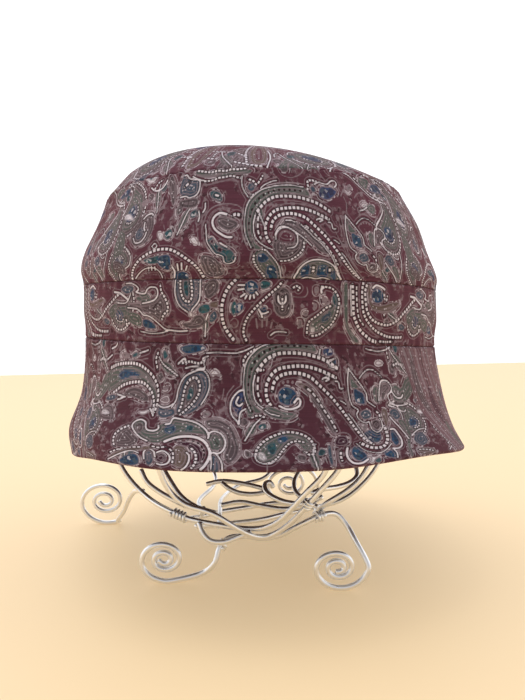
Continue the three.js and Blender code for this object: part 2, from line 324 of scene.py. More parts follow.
def within(places, path):
    """Whether each place lies inside the closed path, by counting the edges that pass to its right."""
    x, y = places[:, 0, None], places[:, 1, None]
    (x0, y0), (x1, y1) = path.T[:, None], np.roll(path, -1, 0).T[:, None]
    passes = (y0 > y) != (y1 > y)
    crossing = x0 + (y - y0) * (x1 - x0) / np.where(y1 == y0, 1, y1 - y0)
    return np.sum(passes & (x < crossing), 1) % 2 == 1


PATH_STEP = 0.3
REACH = 3.0
SOFT_EDGE = 0.5
SOLID = 0.5
LINE_WEIGHT = 0.75
LADDER_WEIGHT = 0.78

# Dyes whose patches stay clear of the fine lines that fill the others
CLEAR = ("navy", "teal", "indigo", "cream", "tan")
CLEAR_BODY = 0.55


class Print:
    """The print at each vertex of a panel, with distances in millimetres.

    dye is the colour under the lines, an ink is how far inside its lines a place is, block counts the
    pale blocks along a beaded line, and body is how far inside the motif's patch a place is.
    """

    def __init__(self, along, up, ground):
        self.along, self.up, self.repeats = along, up, False
        self.dye = np.tile(linear(DYES[ground]), (len(along), 1))
        self.inks = {name: np.full(len(along), -REACH) for name in INKS}
        self.block = np.full(len(along), SOLID)
        self.body = np.full(len(along), -REACH)

    def near(self, points):
        """The vertices near the points, and their places beside them in the repeat."""
        low, high = points.min(0) - REACH, points.max(0) + REACH
        along = self.along
        if self.repeats:
            middle = (low[0] + high[0]) / 2
            along = (along - middle + REPEAT / 2) % REPEAT - REPEAT / 2 + middle
        inside = (along > low[0]) & (along < high[0]) & (self.up > low[1]) & (self.up < high[1])
        chosen = np.flatnonzero(inside)
        return chosen, np.stack([along[chosen], self.up[chosen]], -1)

    def draw(self, ink, points, half):
        """A line, or separate dots, of the ink."""
        chosen, places = self.near(points)
        if len(chosen):
            inside = half - nearest(places, points)[0]
            closer = inside > self.inks[ink][chosen]
            self.inks[ink][chosen[closer]] = inside[closer]
            if ink == "cream":
                self.block[chosen[closer]] = SOLID

    def ladder(self, path, half, gap):
        """A pale line cut into blocks, counted by the length along the path over the gap."""
        path = evenly(path, PATH_STEP)
        chosen, places = self.near(path)
        if len(chosen):
            distance, number = nearest(places, path)
            inside = half - distance
            closer = inside > self.inks["cream"][chosen]
            ahead = np.gradient(path, axis=0)
            step = np.linalg.norm(ahead, axis=1)
            ahead /= step[:, None]
            past = np.sum((places - path[number]) * ahead[number], 1)
            length = number * step.mean() + past
            self.inks["cream"][chosen[closer]] = inside[closer]
            self.block[chosen[closer]] = length[closer] / gap

    def patch(self, points, dye, edge):
        """A closed patch of the dye, which hides the lines below it."""
        path = smooth_path(points, True, PATH_STEP)
        chosen, places = self.near(path)
        if not len(chosen):
            return
        distance = nearest(places, path)[0]
        inside = np.where(within(places, path), distance, -distance)
        cover = np.clip(0.5 + inside / SOFT_EDGE, 0, 1)[:, None]
        self.dye[chosen] = self.dye[chosen] * (1 - cover) + np.array(linear(DYES[dye])) * cover
        body = np.minimum(inside, CLEAR_BODY) if dye in CLEAR else inside
        self.body[chosen] = np.where(inside > 0, body, np.maximum(self.body[chosen], inside))
        for field in self.inks.values():
            field[chosen[inside > 0]] = -REACH
        if edge:
            field = self.inks["cream"]
            field[chosen] = np.maximum(field[chosen], edge - distance)

    def lay(self, rows, repeats):
        """Draws the rows of a chart, either once or in each repeat round the hat."""
        self.repeats = repeats
        for kind, colour, half, gap, points in rows:
            if kind == "patch":
                self.patch(points, colour, half)
            elif kind == "line":
                self.draw(colour, smooth_path(points, False, PATH_STEP), half * LINE_WEIGHT)
            elif colour == "cream":
                self.ladder(smooth_path(points, False, PATH_STEP), half * LADDER_WEIGHT, gap)
            else:
                self.draw(colour, evenly(smooth_path(points, False, PATH_STEP), gap), half)


def charted(chart, x=0.0, y=0.0, turn=0.0, size=1.0):
    """The rows of a chart, turned, sized and moved to a place of the panel."""
    cosine, sine = np.cos(np.radians(turn)) * size, np.sin(np.radians(turn)) * size
    rows = []
    for line in chart.strip().replace("\n ", " ").splitlines():
        kind, colour, *words = line.split()
        half, gap, *_ = [float(word) for word in words if "," not in word] + [0.0, 0.0]
        points = np.array([[float(number) for number in word.split(",")] for word in words if "," in word])
        turned = points @ np.array([[cosine, sine], [-sine, cosine]]) + (x, y)
        rows.append((kind, colour, half, gap, turned))
    return rows


# Motifs and charts of the print. Columns: kind, dye or ink, half width (of a patch: of its pale edge, if
# it has one), gap between beads, and the path. A motif is charted about its own middle, the rest on
# its panel. A long path goes on in an indented line.
GREAT_HOOK = """
patch sage   -15,-5 -17.5,1 -18,7 -17,12 -14,15.5 -10,18 -4,19.5 3,20 10,19.5 12,15.5 3,16.5 -4,15.5
    -10,12.5 -13.5,8 -14.2,4 -13.5,-2 -10.5,-5.5
beads dark   0.62 2.6 -14,-5 -16,2 -15.5,8 -13,13 -8,16.4 -1,18 8,17.8
line  cream  0.36 -15,-5 -17.5,1 -18,7 -17,12 -14,15.5 -10,18 -4,19.5 3,20 10,19.5
line  cream  0.4 -4,-6.5 -9,-4.5 -13,-1 -14.2,4 -13.5,8
beads cream  0.75 2.1 -13,9 -10,12 -8,13.5 -5,14.8 -1,15.3 3,15.3 7,15 11,14.3 15,13.3 18,12 21,10.5
beads cream  0.5 2.6 -12,8 -12.3,5.5 -12.2,2 -11,-1
beads cream  0.7 1.9 -7,-3 -8.5,-0.5 -9,2 -8.8,5 -7,8 -4,10 0,10.7 5,11 10,10.5 15,9.2 20,7.5
line  tan    0.3 -6,9.7 -1,12 5,12.6 12,11.8 19,9.5
beads cream  0.7 1.9 -6.7,3 -5.7,6 -3,8 1,8.8 5,8.6 9,7.5 12.5,5 15.5,2.5 18,0 21,-4 23.5,-8 26.5,-13.5
    29.5,-18.5 33,-22
line  cream  0.4 19.5,6.5 21,6 21.5,4 23,4
line  cream  0.4 21,-0.5 22,-1 23.5,-2
line  cream  0.4 14,7 16,7.6 17,7 15.5,6.4
line  cream  0.38 24,-6 26,-9 28,-13 30,-17 32,-20.5
line  tan    0.36 22.5,3 24.5,-2 27,-7.5 30,-13 33,-17
"""
ROSE_CORE = """
patch umber  -4,-11 0,-11 4,-8.5 7,-4 9,-1 14,-6 18,-6.5 12,0 6,5 0,6.3 -3,3.5 -5,0 -6,-5
patch wine   -4,1 -2,3 1,3 4,0.5 3,-2 -1,-2.5 -4,-1
line  cream  0.38 -4.6,-1.5 -4.4,1 -2.4,3.2 1,3.4 4.2,1.2 4.6,-2 3,-4.4 0,-5
line  tan    0.3 -2.6,0 -1.6,1.6 0.8,1.7 2.4,0 1.6,-1.6
line  cream  0.38 6.5,5 9.5,2.5 12,0 15,-2.5 18,-6.5 19.5,-9.5 21,-14 22,-18 23,-22
beads cream  0.45 2.3 8.5,4.8 11.5,2.4 14,-0.1 17,-3.2 19.8,-7.6 21.8,-12.6
line  cream  0.36 0,6.3 2,6.3 4,5.8
line  cream  0.4 -5,0.5 -4,2.5 -2.5,3.8 0,3.8 3,2.5 7,-0.2 10.5,-3.5
beads cream  0.5 1.6 -3.5,-11.5 0,-11 2,-10 5,-7.5 7,-4.5 7.2,-2
beads tan    0.6 1.5 -2,-3 0,-3.3 2,-3.4 4,-3 5.5,-1.5
line  dark   0.36 -3,-9 1,-8.5 4,-6 5.5,-3.5
"""
NAVY_CORE = """
patch ochre  3,5.5 6,5.5 10,3 12.5,-1 10,0.5 6,3.5
patch umber  9.5,1 12,-2 15,-7 17.5,-13 16.5,-15.5 14,-11 11.5,-5 8.5,0
patch navy   -4.5,0 -4,3 -1,4.5 2.5,3 3,0 0.5,-2.5 -3,-2.3
line  cream  0.55 -4,-2.8 -1.5,-4 1,-4 3.7,-2.8 4.3,-0.7 3.3,0.2 1.8,-1.5
beads tan    0.6 1.8 -4,5 -1,6 3,5.5 6,4 8,2
beads cream  0.5 2.6 7,4 9,2.7 11,0.3 12.5,-2.2 14,-5 15.7,-8 17,-11 18,-14
patch sage   -10.5,-4.5 -8,-7 -4,-8.5 0.5,-8.5 2.5,-6 -2.5,-5 -8,-3
line  cream  0.4 -9.5,-4.5 -7.5,-6 -4,-7
line  tan    0.36 -9.5,-8.7 -5.5,-9.8 -1.5,-9.5 1,-7 4,-4
"""
VINE_SPRAY = """
patch navy   -4.5,8 -2,7.5 0.5,6 0.5,2.5 -2,2 -4.5,3.5
patch sage   -6,13.5 -3.5,10.5 -1.5,8.5 -5,8 -6,10
patch slate  -2.5,-1.5 0.5,-0.2 2.5,-2 2,-4 -1,-5 -2.5,-3.5
patch umber  1.8,-8 3,-5.5 5.5,-5.5 6.5,-8 4,-10.5
patch sage   5,8 7.5,9 8.5,6 7,2.5 5,4
patch umber  9.5,9 13,10.3 14.8,8.5 11.5,6 9.5,3.5
patch slate  12,-2.5 14,0 17,-0.5 18,-4 15,-5.5
patch sage   16,-6 19,-6 21,-12 21,-16 19.5,-15 17,-10
patch ochre  8.5,0 11,-1 10.5,-7 9,-9 8,-5
line  cream  0.4 -6,14.5 -7,10 -7,5 -6,1.5 -3.5,-0.5 -4.5,-2.5 -3.5,-5 -1,-6.5 1,-6
line  cream  0.4 -6,14.5 -3,11.5 0,8.5 1.5,6 1.5,3.5 3.5,2 5,1
line  cream  0.4 1,-6.5 1.5,-9.5 3.5,-11.5 5.5,-11 7,-9 7,-6 6.5,-4.5
line  dark   0.36 2.2,-8 4,-6.2 5.8,-8 4,-9.8 2.2,-8
beads cream  0.55 1.9 5,-1 6.5,-2.5 6.5,-4.5
line  cream  0.3 -1,11.5 1,13 4,14.3 7,14 11,12
line  dark   0.36 6.8,8 6.5,3
line  cream  0.4 7.5,3.5 8.5,7.5 10,10.5 13,11 15.5,9.5 15.5,7.5 13,6 13.5,3.5 15,2 17,1.5 18.5,-0.5
    21,-1.5 22,-0.5
line  cream  0.5 12,-4 14,-7 16,-10 18,-14 19,-17
line  tan    0.36 -10,14 -9.5,8 -8.5,2 -6.5,-4 -4,-9
line  tan    0.3 -8.5,13 -8,7 -7.2,2
line  tan    0.36 0,-12 2.5,-14 5.5,-14 8,-11.5 9,-9
line  tan    0.36 9,-1 10,-6 9.5,-10 8.5,-14
beads tan    0.5 1.6 2,12 4.5,12.6 7,12.3
"""
PAISLEY = """
patch umber  0.3 -6,-9 0,-11.5 6,-9 8.5,-3 7,4 3,9 -2,12.5 -7,13 -4,9.5 -3,6 -5,2 -8,-3
patch sage   -4,-7.5 0,-9 4.5,-7 6.5,-2.5 5,3 1.5,7 -2,10 -1.5,6 -3,2 -5.5,-3
patch navy   -2.5,-5.5 1,-6.5 4,-4 3.5,-1 0.5,0.5 -3,-1.5
beads cream  0.55 1.7 -6,-9 0,-11.5 6,-9 8.5,-3 7,4 3,9 -2,12.5 -7,13
beads cream  0.45 1.5 -2.5,-5.5 1,-6.5 4,-4 3.5,-1
line  cream  0.36 -8,-3 -5,2 -3,6 -4,9.5 -7,13
"""
SPRIG = """
patch sage   -1,-6 1.5,-3 1.5,1 0,4 -2,1 -2.5,-3
patch teal   2,3 4.5,4.5 6,2.5 4,0.5 2,1
patch umber  -3,2 -5.5,4 -7,2 -5,-0.5
line  cream  0.4 -1,-8 -0.5,-3 0,2 1.5,6
line  tan    0.4 0,-4 3,-2 5,0
line  tan    0.4 -0.5,-3 -3.5,-1.5 -5.5,0.5
beads cream  0.5 1.5 -3,5 0,7.5 3,7.5
"""
PLUME = """
patch ochre  -3,-15 0,-17 3,-14 4,-5 3,6 0,16 -2.5,6 -4,-5
patch wine   -1.5,-12 1.5,-12 1.5,0 0,8 -1.5,0
beads cream  0.65 1.9 -5.5,-15 -6,-4 -4,8 0,18
line  tan    0.45 5.5,-15 6,-4 4,8 1,18
line  tan    0.45 7.5,-15 8,-4 6,8 3,17
"""
SIDE_CHART = """
patch sage   -30,50 -5,50 -5,48 -12,47.5 -24,47 -30,48
patch umber  -24,14 -19,14 -15,9 -14,3 -18,1 -22,3
patch umber  -46,50 -42,46 -40,40 -41,36 -43,39 -46,44
patch sage   0.4 16,-1 16,4 18,9 21,12 25,13 29,12 32,9 33.5,4 34,-1
patch navy   17.5,1 17.5,6 19.5,9.5 21.5,9 21.5,4 20,1
patch navy   24.3,2 24.3,8 26.5,10 29,9 29.5,4 28,1
patch navy   30.5,1 30.5,5 32.5,6 33,2 32.5,-1
beads cream  0.7 2.6 22.8,9 22.8,6.3 22.5,3.7
beads cream  0.6 3.5 29.9,8 29.9,4.5
line  cream  0.4 17,-0.5 20,1 24,0.3 27,1 30,0
patch sage   -1.5,16 2,17 5,14 7.5,10 9,4 9,-1 3,-1 0.5,4 -1.5,9
patch navy   -0.3,14.5 2,15.5 4,14 3.5,11.5 1,10.5 -0.5,12
patch navy   3.5,8 6,8.5 7.8,5 7.5,0 5,-1 3,2
beads cream  0.55 1.7 -1.8,15 -2,12 -1,8.5 0,5.5 1.5,3 3,-0.5
line  cream  0.4 3.5,16.5 5.5,14 7,11.5 8.3,8 8.8,4 9.2,0
beads cream  0.5 1.3 -0.5,16.8 1.5,17.3 3.3,16.8
line  tan    0.36 -2.5,16 -3.5,12 -2.8,8 -1,4 0,1
line  tan    0.4 10.5,9 11,6 10.5,3
line  tan    0.4 -24,27.5 -23,32 -20,34.5 -15,35.3 -10,34.8 -7.5,33.3 -6.8,30
line  tan    0.3 -22.5,28 -21.5,31.5 -18.5,33.6 -14,33.8 -10.5,33
patch umber  -18,30 -15.5,31 -12.5,30 -9,28.5 -9.5,26.5 -13,25.5 -17,27.5
line  cream  0.6 -14,31.5 -17,32 -19.3,30.8 -20,28.8 -18.8,26.3 -16.3,24.3 -13.5,22.8 -11.2,22.6
beads cream  0.7 1.8 -11.3,31 -9.7,31.5 -8,31
line  tan    0.36 -13,30.5 -10.5,29.5 -8,28 -6.8,25.5
patch teal   -21.5,21.5 -19.5,22.8 -17,20 -14.5,18.8 -11,17 -9.5,14 -10,11.3 -13,10 -14.5,12.5 -17,14.8
    -20,18.3
patch deep   -19.5,22 -18,21 -19,19.8 -20.5,20.5
patch deep   -16.5,18.5 -14.8,17.5 -15.5,16.2 -17,17
line  cream  0.4 -23,28 -22.3,25 -21.6,21 -20.3,18.8 -18,15.6 -16,14.8 -14.5,13.8 -14,11 -12,10 -10,11.3
    -9.4,13.5
line  cream  0.5 -16,20.3 -14.5,19.3 -13,18.5
line  tan    0.36 -8.5,9 -7.7,12 -7.8,15 -9.5,18 -11,20
line  tan    0.36 -10,26 -8.5,23.5 -9,21 -7.5,19.5
line  tan    0.36 -7.3,26 -6.2,23 -6.8,20.5
patch cream  -29,22.5 -27.5,23.2 -26,21.5 -25,19.8 -27,20 -28.5,21
line  tan    0.36 -27,32 -27,28 -26,24 -25.3,20.5
line  tan    0.36 -25,31 -24.5,26 -23.8,22
line  tan    0.3 -28.6,28 -28,25
line  cream  0.45 -27,33 -26.3,31 -26.5,29.3
line  cream  0.45 -24.5,36 -24.2,34 -25,32.5
line  tan    0.4 -24,13 -22,9 -21.5,4
line  tan    0.4 -21,14 -20.5,9 -19,4 -18.5,1
line  tan    0.4 -18,12 -17,8 -17,3
line  tan    0.4 -15,9 -15,5 -14,2
line  tan    0.36 -15,8 -12,6.5 -9,7 -7.5,9
patch teal   -52,13.5 -47,15 -43,15.5 -43,12 -48,11
patch navy   -43.5,15 -38.5,15.5 -37.5,10 -39,6 -42,8 -44,11
patch navy   -36.5,4 -33,5 -30,3.5 -30,-1 -36.5,-1
beads cream  0.8 2.1 -59,0 -59,4 -57,10 -54,14 -50,16.5 -46,18 -42,18.5 -38,18 -34,16 -30,13 -27,10
    -25,6 -23.5,2 -22,-1
line  cream  0.45 -57,1 -55,4 -52,7 -49.5,8.2 -46,8 -43.5,5 -42,1
line  cream  0.36 -49,9 -49,5.8
line  cream  0.36 -47.3,9.5 -47.3,6.2
line  cream  0.36 -45.6,9.3 -45.6,6
line  cream  0.6 -37,8.5 -36,5 -36.3,1
line  cream  0.5 -34.5,10.5 -34.2,5.5
line  cream  0.5 -32.5,11 -32.6,6
line  cream  0.45 -30,9 -30.8,5.5
beads tan    0.5 1.5 -54,2 -52,4 -49,4.5
patch cream  -45.5,26 -43,25.5 -42.5,23.5 -44,22.5 -45.5,24.5
patch teal   -42,26 -39,27 -38,24.5 -40,22.5 -42,24
line  tan    0.36 -42.5,27 -43.5,28.8
line  tan    0.36 -40,28 -40,30
line  tan    0.36 -38,27.3 -36.8,29
line  tan    0.36 -37,25.5 -35,26
line  cream  0.36 -47.8,20 -46.5,21.3 -45.2,20 -46.5,18.9 -47.8,20
line  tan    0.36 -38.5,23 -37.5,21 -38,19.5
patch umber  -62,26 -60,31 -56,34 -51,33 -49,28 -51,22.5 -56,20.5 -60,22
patch slate  -59,26 -57.5,28.3 -55,28 -54,25.5 -56,23.3 -58.3,23.8
line  cream  0.45 -60,24.5 -58,22.3 -55,22.5 -53,24.5 -52.5,26.5
line  cream  0.45 -56.5,32 -55,33.3 -52.5,33.8 -51,33
line  cream  0.5 -55,30.5 -54.6,28.5 -53.7,27.3
line  tan    0.36 -62.5,27 -61,22 -57,19.5 -52,20.5
patch slate  -38.5,49 -36,47.5 -33,46.5 -29.5,46 -28.5,42 -29,39.5 -33,38.5 -37,39.5 -39,42
line  cream  0.45 -38,49 -36.5,49 -35,47.5 -33,46.7 -29.5,46 -28.5,44 -28.7,41 -30,39.3 -33,38.5
    -35,39.3 -38,39
beads cream  0.7 2.4 -34.5,45.3 -36.4,43.6
patch umber  -37.5,37.5 -29,38 -28.8,35 -33,34.5 -37,35.5
line  dark   0.36 -35.5,37.5 -35.8,35
line  dark   0.36 -33,37.5 -33,34.8
line  dark   0.36 -30.5,37.7 -30.3,35
patch teal   -23,40.5 -20,41 -17.5,39.5 -16.5,36.5 -19,36.5 -22,38
line  cream  0.6 -20,39 -18.7,38.6
beads cream  0.6 1.8 -31,50.3 -25,49.5 -18,49.6 -11,50 -6,50.5
beads cream  0.55 1.8 -27,45.3 -22,45.6 -18,46.6 -13,47 -9,46
line  tan    0.36 -31,48.2 -24,47.5 -17,48.3 -10,48.5 -4,48
line  tan    0.36 -26,43.5 -21,44 -16,45 -11,44.8
line  cream  0.45 -33,48 -30,46.5 -25,45.2
patch slate  -5,43 -3,44 -1.5,42 -3,40 -5,40.8
beads cream  0.55 1.8 -5,45.5 -2.5,44.5 -1,43 0.8,45 2,46.8
line  cream  0.4 -8,47 -8,43.5 -6.8,40.5 -4.8,37.8
line  cream  0.36 1,41.5 3,43 6,44.3 9,44.8
line  tan    0.4 7,51 7.3,48.5 8.5,46.5
line  tan    0.36 9.5,51 11,48.5 14,46.7 18,46.6 22,48.3 25,51
patch umber  11.5,51 12.5,49 15,49 15.5,51
beads cream  0.6 1.7 23.5,41 24.5,43 24.8,45 27,45.8 29.5,45.2
patch slate  25.5,42.5 27.5,43.5 28,41 26,40.5
patch indigo 29,39 31,43 36,43.5 39.5,42 37,39.5 33,37.8
line  cream  0.4 28,44 31,45 35,44.5 38,46 40.5,46.5 41,45 39,43.5
line  tan    0.4 33,51 34,48 35,46
line  tan    0.4 36,51 37,49 39,48.3
line  cream  0.45 48,51 51,50 54,48 57,45 60,42.5 64,41 70,40
beads cream  0.55 1.8 55,49.5 58,47 61,44 65,42.3 70,41.5
patch navy   63,44.5 67,47.5 73,48 73,44.5 68,44
patch sage   57,47 60,50 66,49 63,46 60,44.5
patch tan    46,42 46.5,44 49,45.5 50,44 48,43
line  tan    0.4 41,40 43,42 46,44 49,45
line  tan    0.36 42,34 43,37 42.5,40
patch cream  51.5,37 54,38.5 56.5,38 54.5,36.5
patch sage   55,37 58,38.5 61,37.5 59,34.5 56,35
line  cream  0.36 50,35 53,35.8 55.5,37
line  tan    0.36 49,40 52,42 56,43 59,42
line  tan    0.36 51,34 55,33.5 60,33.5
line  tan    0.36 58,40 62,39.5 66,38
line  cream  0.4 69,3 69.5,9 70.5,15 71,20
patch sage   -72,17 -72,28 -67,27 -65,22 -67,17.5
patch cream  -72,35 -68.5,35 -65,33.3 -63,32 -67,32.5 -72,33.5
line  tan    0.4 -70,41 -66,38 -62,33
line  tan    0.4 -68,43 -64,40 -60,36
line  tan    0.4 -70,47 -65,44 -60,43.5
patch tan    -62,39 -58,40 -57,38.5 -59.5,37
line  cream  0.5 -57.5,45.5 -55,44 -52,43.5 -49.5,44.5 -48,46.5 -47.5,47.8
patch cream  -63,51 -61,48.5 -57,48 -56,51
patch teal   -61.5,51 -59.5,49.5 -57.5,51
line  tan    0.4 -46,51 -42.5,46 -41,41 -40.5,36
line  tan    0.4 -44,51 -41,46 -39.5,41
line  tan    0.4 -48,48 -44.5,43 -43,39
line  tan    0.36 -70,15 -66,13 -63,9 -62,4
line  tan    0.36 -68,16 -64,14 -61,10
patch umber  -71,14 -66,13 -63,8 -64,4 -69,6 -72,10
"""
BAND_CHART = """
patch ochre  48.5,23 49.5,24.5 50.3,22 49.8,19 51.5,17 56,16.6 62,17.8 67,18.3 68,17.3 64,15 58,13.7
    52,14.5 49.3,17
patch navy   50.5,20 52,23 55,23.5 57.5,21.5 57.3,18.5 54.5,17.3 51.8,17.7
patch sage   36.5,24 38.5,24 38.5,10 41,5 45,1 42,1 38.5,5 36.5,11
patch slate  68,9 70.5,9.3 73,7.5 71,6 68.5,6.8
patch sage   73,13 77,16 80,16 79,12 75,9
line  cream  0.6 51.5,23.3 53.5,24.6 56,24.3 58.3,23
beads cream  0.5 1.6 58,21.5 58,19.5 59.2,18.6 60,20.3
line  tan    0.4 52,15 57,14.3 62,15 67.5,17.5
beads cream  0.7 1.9 48.5,25 47.3,22 47.3,18.5 48,14.5 50,11.5 53,9.6 57,8.6 60.5,8.4 64,9.5 67.5,11.5
    70.5,13.8 74,16 78,18.5 81,20
beads cream  0.65 1.9 46.5,26 45.7,22 45.6,18 46,14 47.5,11 50,8.3 53,6 57,4.3 61,3.3 66,3 71,3.2
beads cream  0.8 2.1 41,24.5 41,21.5 41,18 41,14.5 41.3,12 42.5,9.5 44,7 46,4.8 48.5,3.2 51,1.8 54,1.2
line  cream  0.36 39.9,24 39.8,18 40,12
beads cream  0.45 2.2 43,24 42.8,20 43,15 44,11 46.5,8
line  tan    0.3 44.2,25 44,19 44.4,14 45.8,10 48.5,7 52,4.6
line  tan    0.36 36,24 36,17 37,10 39.5,5.5 42.5,1.5
line  cream  0.4 59,3.8 63,3 68,3 71,3.5
beads cream  0.5 1.6 56,1.4 60,1.2 64,1.4
patch sage   21,5 22,9 25,11.5 29,14 31.5,18 32.5,21 34,18 33.5,13 31.5,9 28.5,6 24,4
patch slate  26,10 28,12.5 30.5,13 29.5,10 27,8.5
patch teal   31.5,20 33,21 33.5,16 32,15 31,18
beads cream  0.5 1.6 20.2,3.5 20.3,6.5 21,9 23.5,11 26,13 28.5,15 30.5,15.6
line  tan    0.36 19,4.5 19.3,8.5 21,11.5 24.5,13.5 28,16 30,17
beads cream  0.5 1.6 26,23 29,22.8 31.5,22 33.5,20 34.3,17.5 33.7,14.5 32.5,11 30.5,7.5 27.5,4.8 25,3.3
    22,2.8
line  cream  0.6 27.5,22.7 26.3,21.8 26.4,20.6
patch cream  21.5,7 22.5,6.3 23.5,6.2 23.3,4.3 22,4.2 21.8,5.6
line  cream  0.45 26.5,7 27.5,6.3
patch umber  6,16 6.3,20 8,22 11,22.3 13,20 13.3,15 12,11.5 9,11 6.8,13
line  tan    0.4 6,16 6.3,20 8,22 11,22.3 13,20 13.3,15 12,11.5 9,11 6.8,13 6,16
line  dark   0.36 7.3,16 7.8,20 10,21 11.8,19 12,15 10.3,12.5 8.2,13.5 7.3,16
line  cream  0.5 8,19 8.2,17 9.5,16 11,17 11.2,19
beads cream  0.5 1.4 9.7,18.5 9.7,16.5 9.7,14
beads cream  0.55 1.6 9.5,24.5 8,22.5 5,20 2,17.5 -1,14.8 -3.5,12 -5,9.5 -6,6.5 -6.2,3.5 -5,1
patch navy   0.5,14 3,15 3.5,12 1.5,11.5
line  cream  0.5 0,14 1,12.3 1.5,10.7
line  cream  0.45 1,12.3 2.5,12.3 4,13
line  tan    0.5 -1,10 -0.5,6
line  tan    0.5 1.5,9.5 1.5,6.5
line  tan    0.5 3.5,10 3.3,7
line  tan    0.5 5.5,8.5 5,6
beads cream  0.8 1.9 -9,26 -10.5,24.5 -12.5,22 -14,19.3 -15,16 -15.2,12.5 -14.8,9 -14,6.3 -12.5,3.8
    -10.5,1.5
line  tan    0.36 -8.5,24 -11,21 -12.5,17 -12.8,12 -12.3,8 -10.5,4
patch teal   -11.5,14 -10.5,17 -9,16.5 -9,12.5 -10.5,11.5
patch navy   -9,16 -6.5,16.3 -6.3,14 -9,12
line  tan    0.36 -11.5,9 -10,10.3 -8.5,9 -8.7,7 -10.3,6 -11.5,7.5
patch navy   -5.5,24 -3,25.5 -0.5,24 0,21.5 -2.5,19.5 -5,20.5 -6,22.5
line  cream  0.5 -8.3,23.3 -5.8,23.3
line  cream  0.5 -8.4,21.3 -6,21.7
line  cream  0.5 -7.3,18.7 -5.6,19.8
line  cream  0.5 -5.5,18 -4.8,19.2
line  cream  0.5 -3.6,17.9 -3.3,19.2
line  cream  0.5 -1.8,18.2 -2,19.4
line  cream  0.5 -0.3,19.5 -1,20.4
patch teal   0.5,23.5 2,25.5 5,24.5 4.5,22.5 1.5,21.5
patch umber  -19,26 -16.5,24 -17.5,20 -21.5,18 -23,23
patch teal   -25.5,14 -23,16 -20,15.5 -20.5,12.8 -24,12
patch ochre  -20,16.5 -17,17 -17,14.5 -20,14.8
patch slate  -20.5,11 -18,13.5 -17,11 -18.5,9
line  tan    0.4 -28,12.5 -24,10.5 -21,12 -18,14.5
patch umber  -27,11 -24,11.5 -22,8.5 -25,6 -30,5.5 -33,7.5 -29,8.5
line  tan    0.36 -33,8.5 -28,8 -24,7
patch slate  -35,27.5 -35.5,20 -33.5,15.5 -29.5,13 -26.5,14 -24.5,18 -24.5,27.5
patch umber  -33.5,27 -33.4,21 -32,17.5 -29.7,16.3 -28,18.5 -28,22 -28.4,27
patch teal   -32,25 -32,20.5 -30,18.5 -29.2,21 -29.5,25
line  cream  0.4 -35.8,26 -36,20 -34,15.5 -30.5,13 -28.8,12 -28,13.8 -25.5,16.5 -24.6,19 -24.5,26
beads cream  0.55 1.5 -33.5,26 -33.4,21.5 -32,18 -29.7,16.8 -28.2,18.5 -28.2,22 -28.6,26
beads tan    0.4 1.4 -26.2,25 -26.2,20 -27.5,16.5
patch cream  -29.5,12.5 -28.3,12.8 -27.8,11 -29,10.8
patch umber  -62,16 -50,17 -45,19 -41,19 -39,14 -43,9 -48,11 -54,13 -60,14
patch sage   -57,18 -53,20 -50,20 -48,17.5 -52,16.3
patch slate  -67,22.5 -63,24 -59,23.5 -58.5,21.5 -62,20 -65,20.5
line  cream  0.6 -72,21 -68,20.5 -65,19.3 -62,17.8
line  cream  0.45 -63,24.7 -60,24.8 -57,23.6 -55.5,22 -56.5,21
line  cream  0.45 -57,20.8 -54.5,20.2 -51.5,20.2 -50.3,21.8 -48,22.8 -45.5,22.3 -44.7,20 -46,17.8
    -49,16.7 -53,16.2
line  tan    0.4 -49,20.5 -47,22 -45.8,20.3 -47.5,19 -49,20.5
line  tan    0.4 -72,16.3 -66,16.6 -58,16 -53,16.2
line  cream  0.45 -62,14.3 -57,14 -54.5,13 -52.5,11.3 -50,11 -47,9.5 -44,7 -41,5 -38,4.5 -34,4.3
    -30.5,4.5
patch sage   -62,12 -58,12.5 -54.5,11 -53.5,8 -55,5.8 -60,7 -63,10
patch navy   -53,9 -50,9.3 -47,7.5 -46,5.2 -50,5 -53,6
line  cream  0.36 -55,3.8 -50,3.2 -44,3.3 -40,4.2
beads cream  0.55 1.6 -43.5,24 -42.8,21 -41,18.5 -39.7,16 -39.5,13.5 -41.5,11.5 -42.5,9.5
beads tan    0.5 1.6 -63,8 -60,6 -57,5.7
beads cream  0.6 1.8 -63.3,9.5 -63.3,6.5
line  tan    0.4 -72,14 -69,12 -68,8 -69,3
line  tan    0.4 -70,15.3 -67,12 -66.3,8 -67,3
line  dark   0.36 -47,14 -45,16 -42.5,15
line  cream  0.4 5,3 7,4.3 10,4.4 11.5,4.2
line  tan    0.36 5.5,1.8 8,1
patch tan    23.5,22.5 25,22.5 24.8,20.5 23.5,20.3
patch tan    22.8,16.5 24.2,16 24,14.5 23,14.3
patch tan    18.5,13 20.3,13.2 20,11.5 18.8,11.5
patch tan    16.3,9.5 17.8,9.5 18,7 16.5,6.3
patch tan    26.5,18.5 28.3,18.7 28.6,17 27,16.7
beads cream  0.5 1.4 14,22 15.5,23 17,22.3 16.3,21.3
line  tan    0.36 14,18.8 16,18.6 19,18.8 20.3,20.5 20,22.5
"""
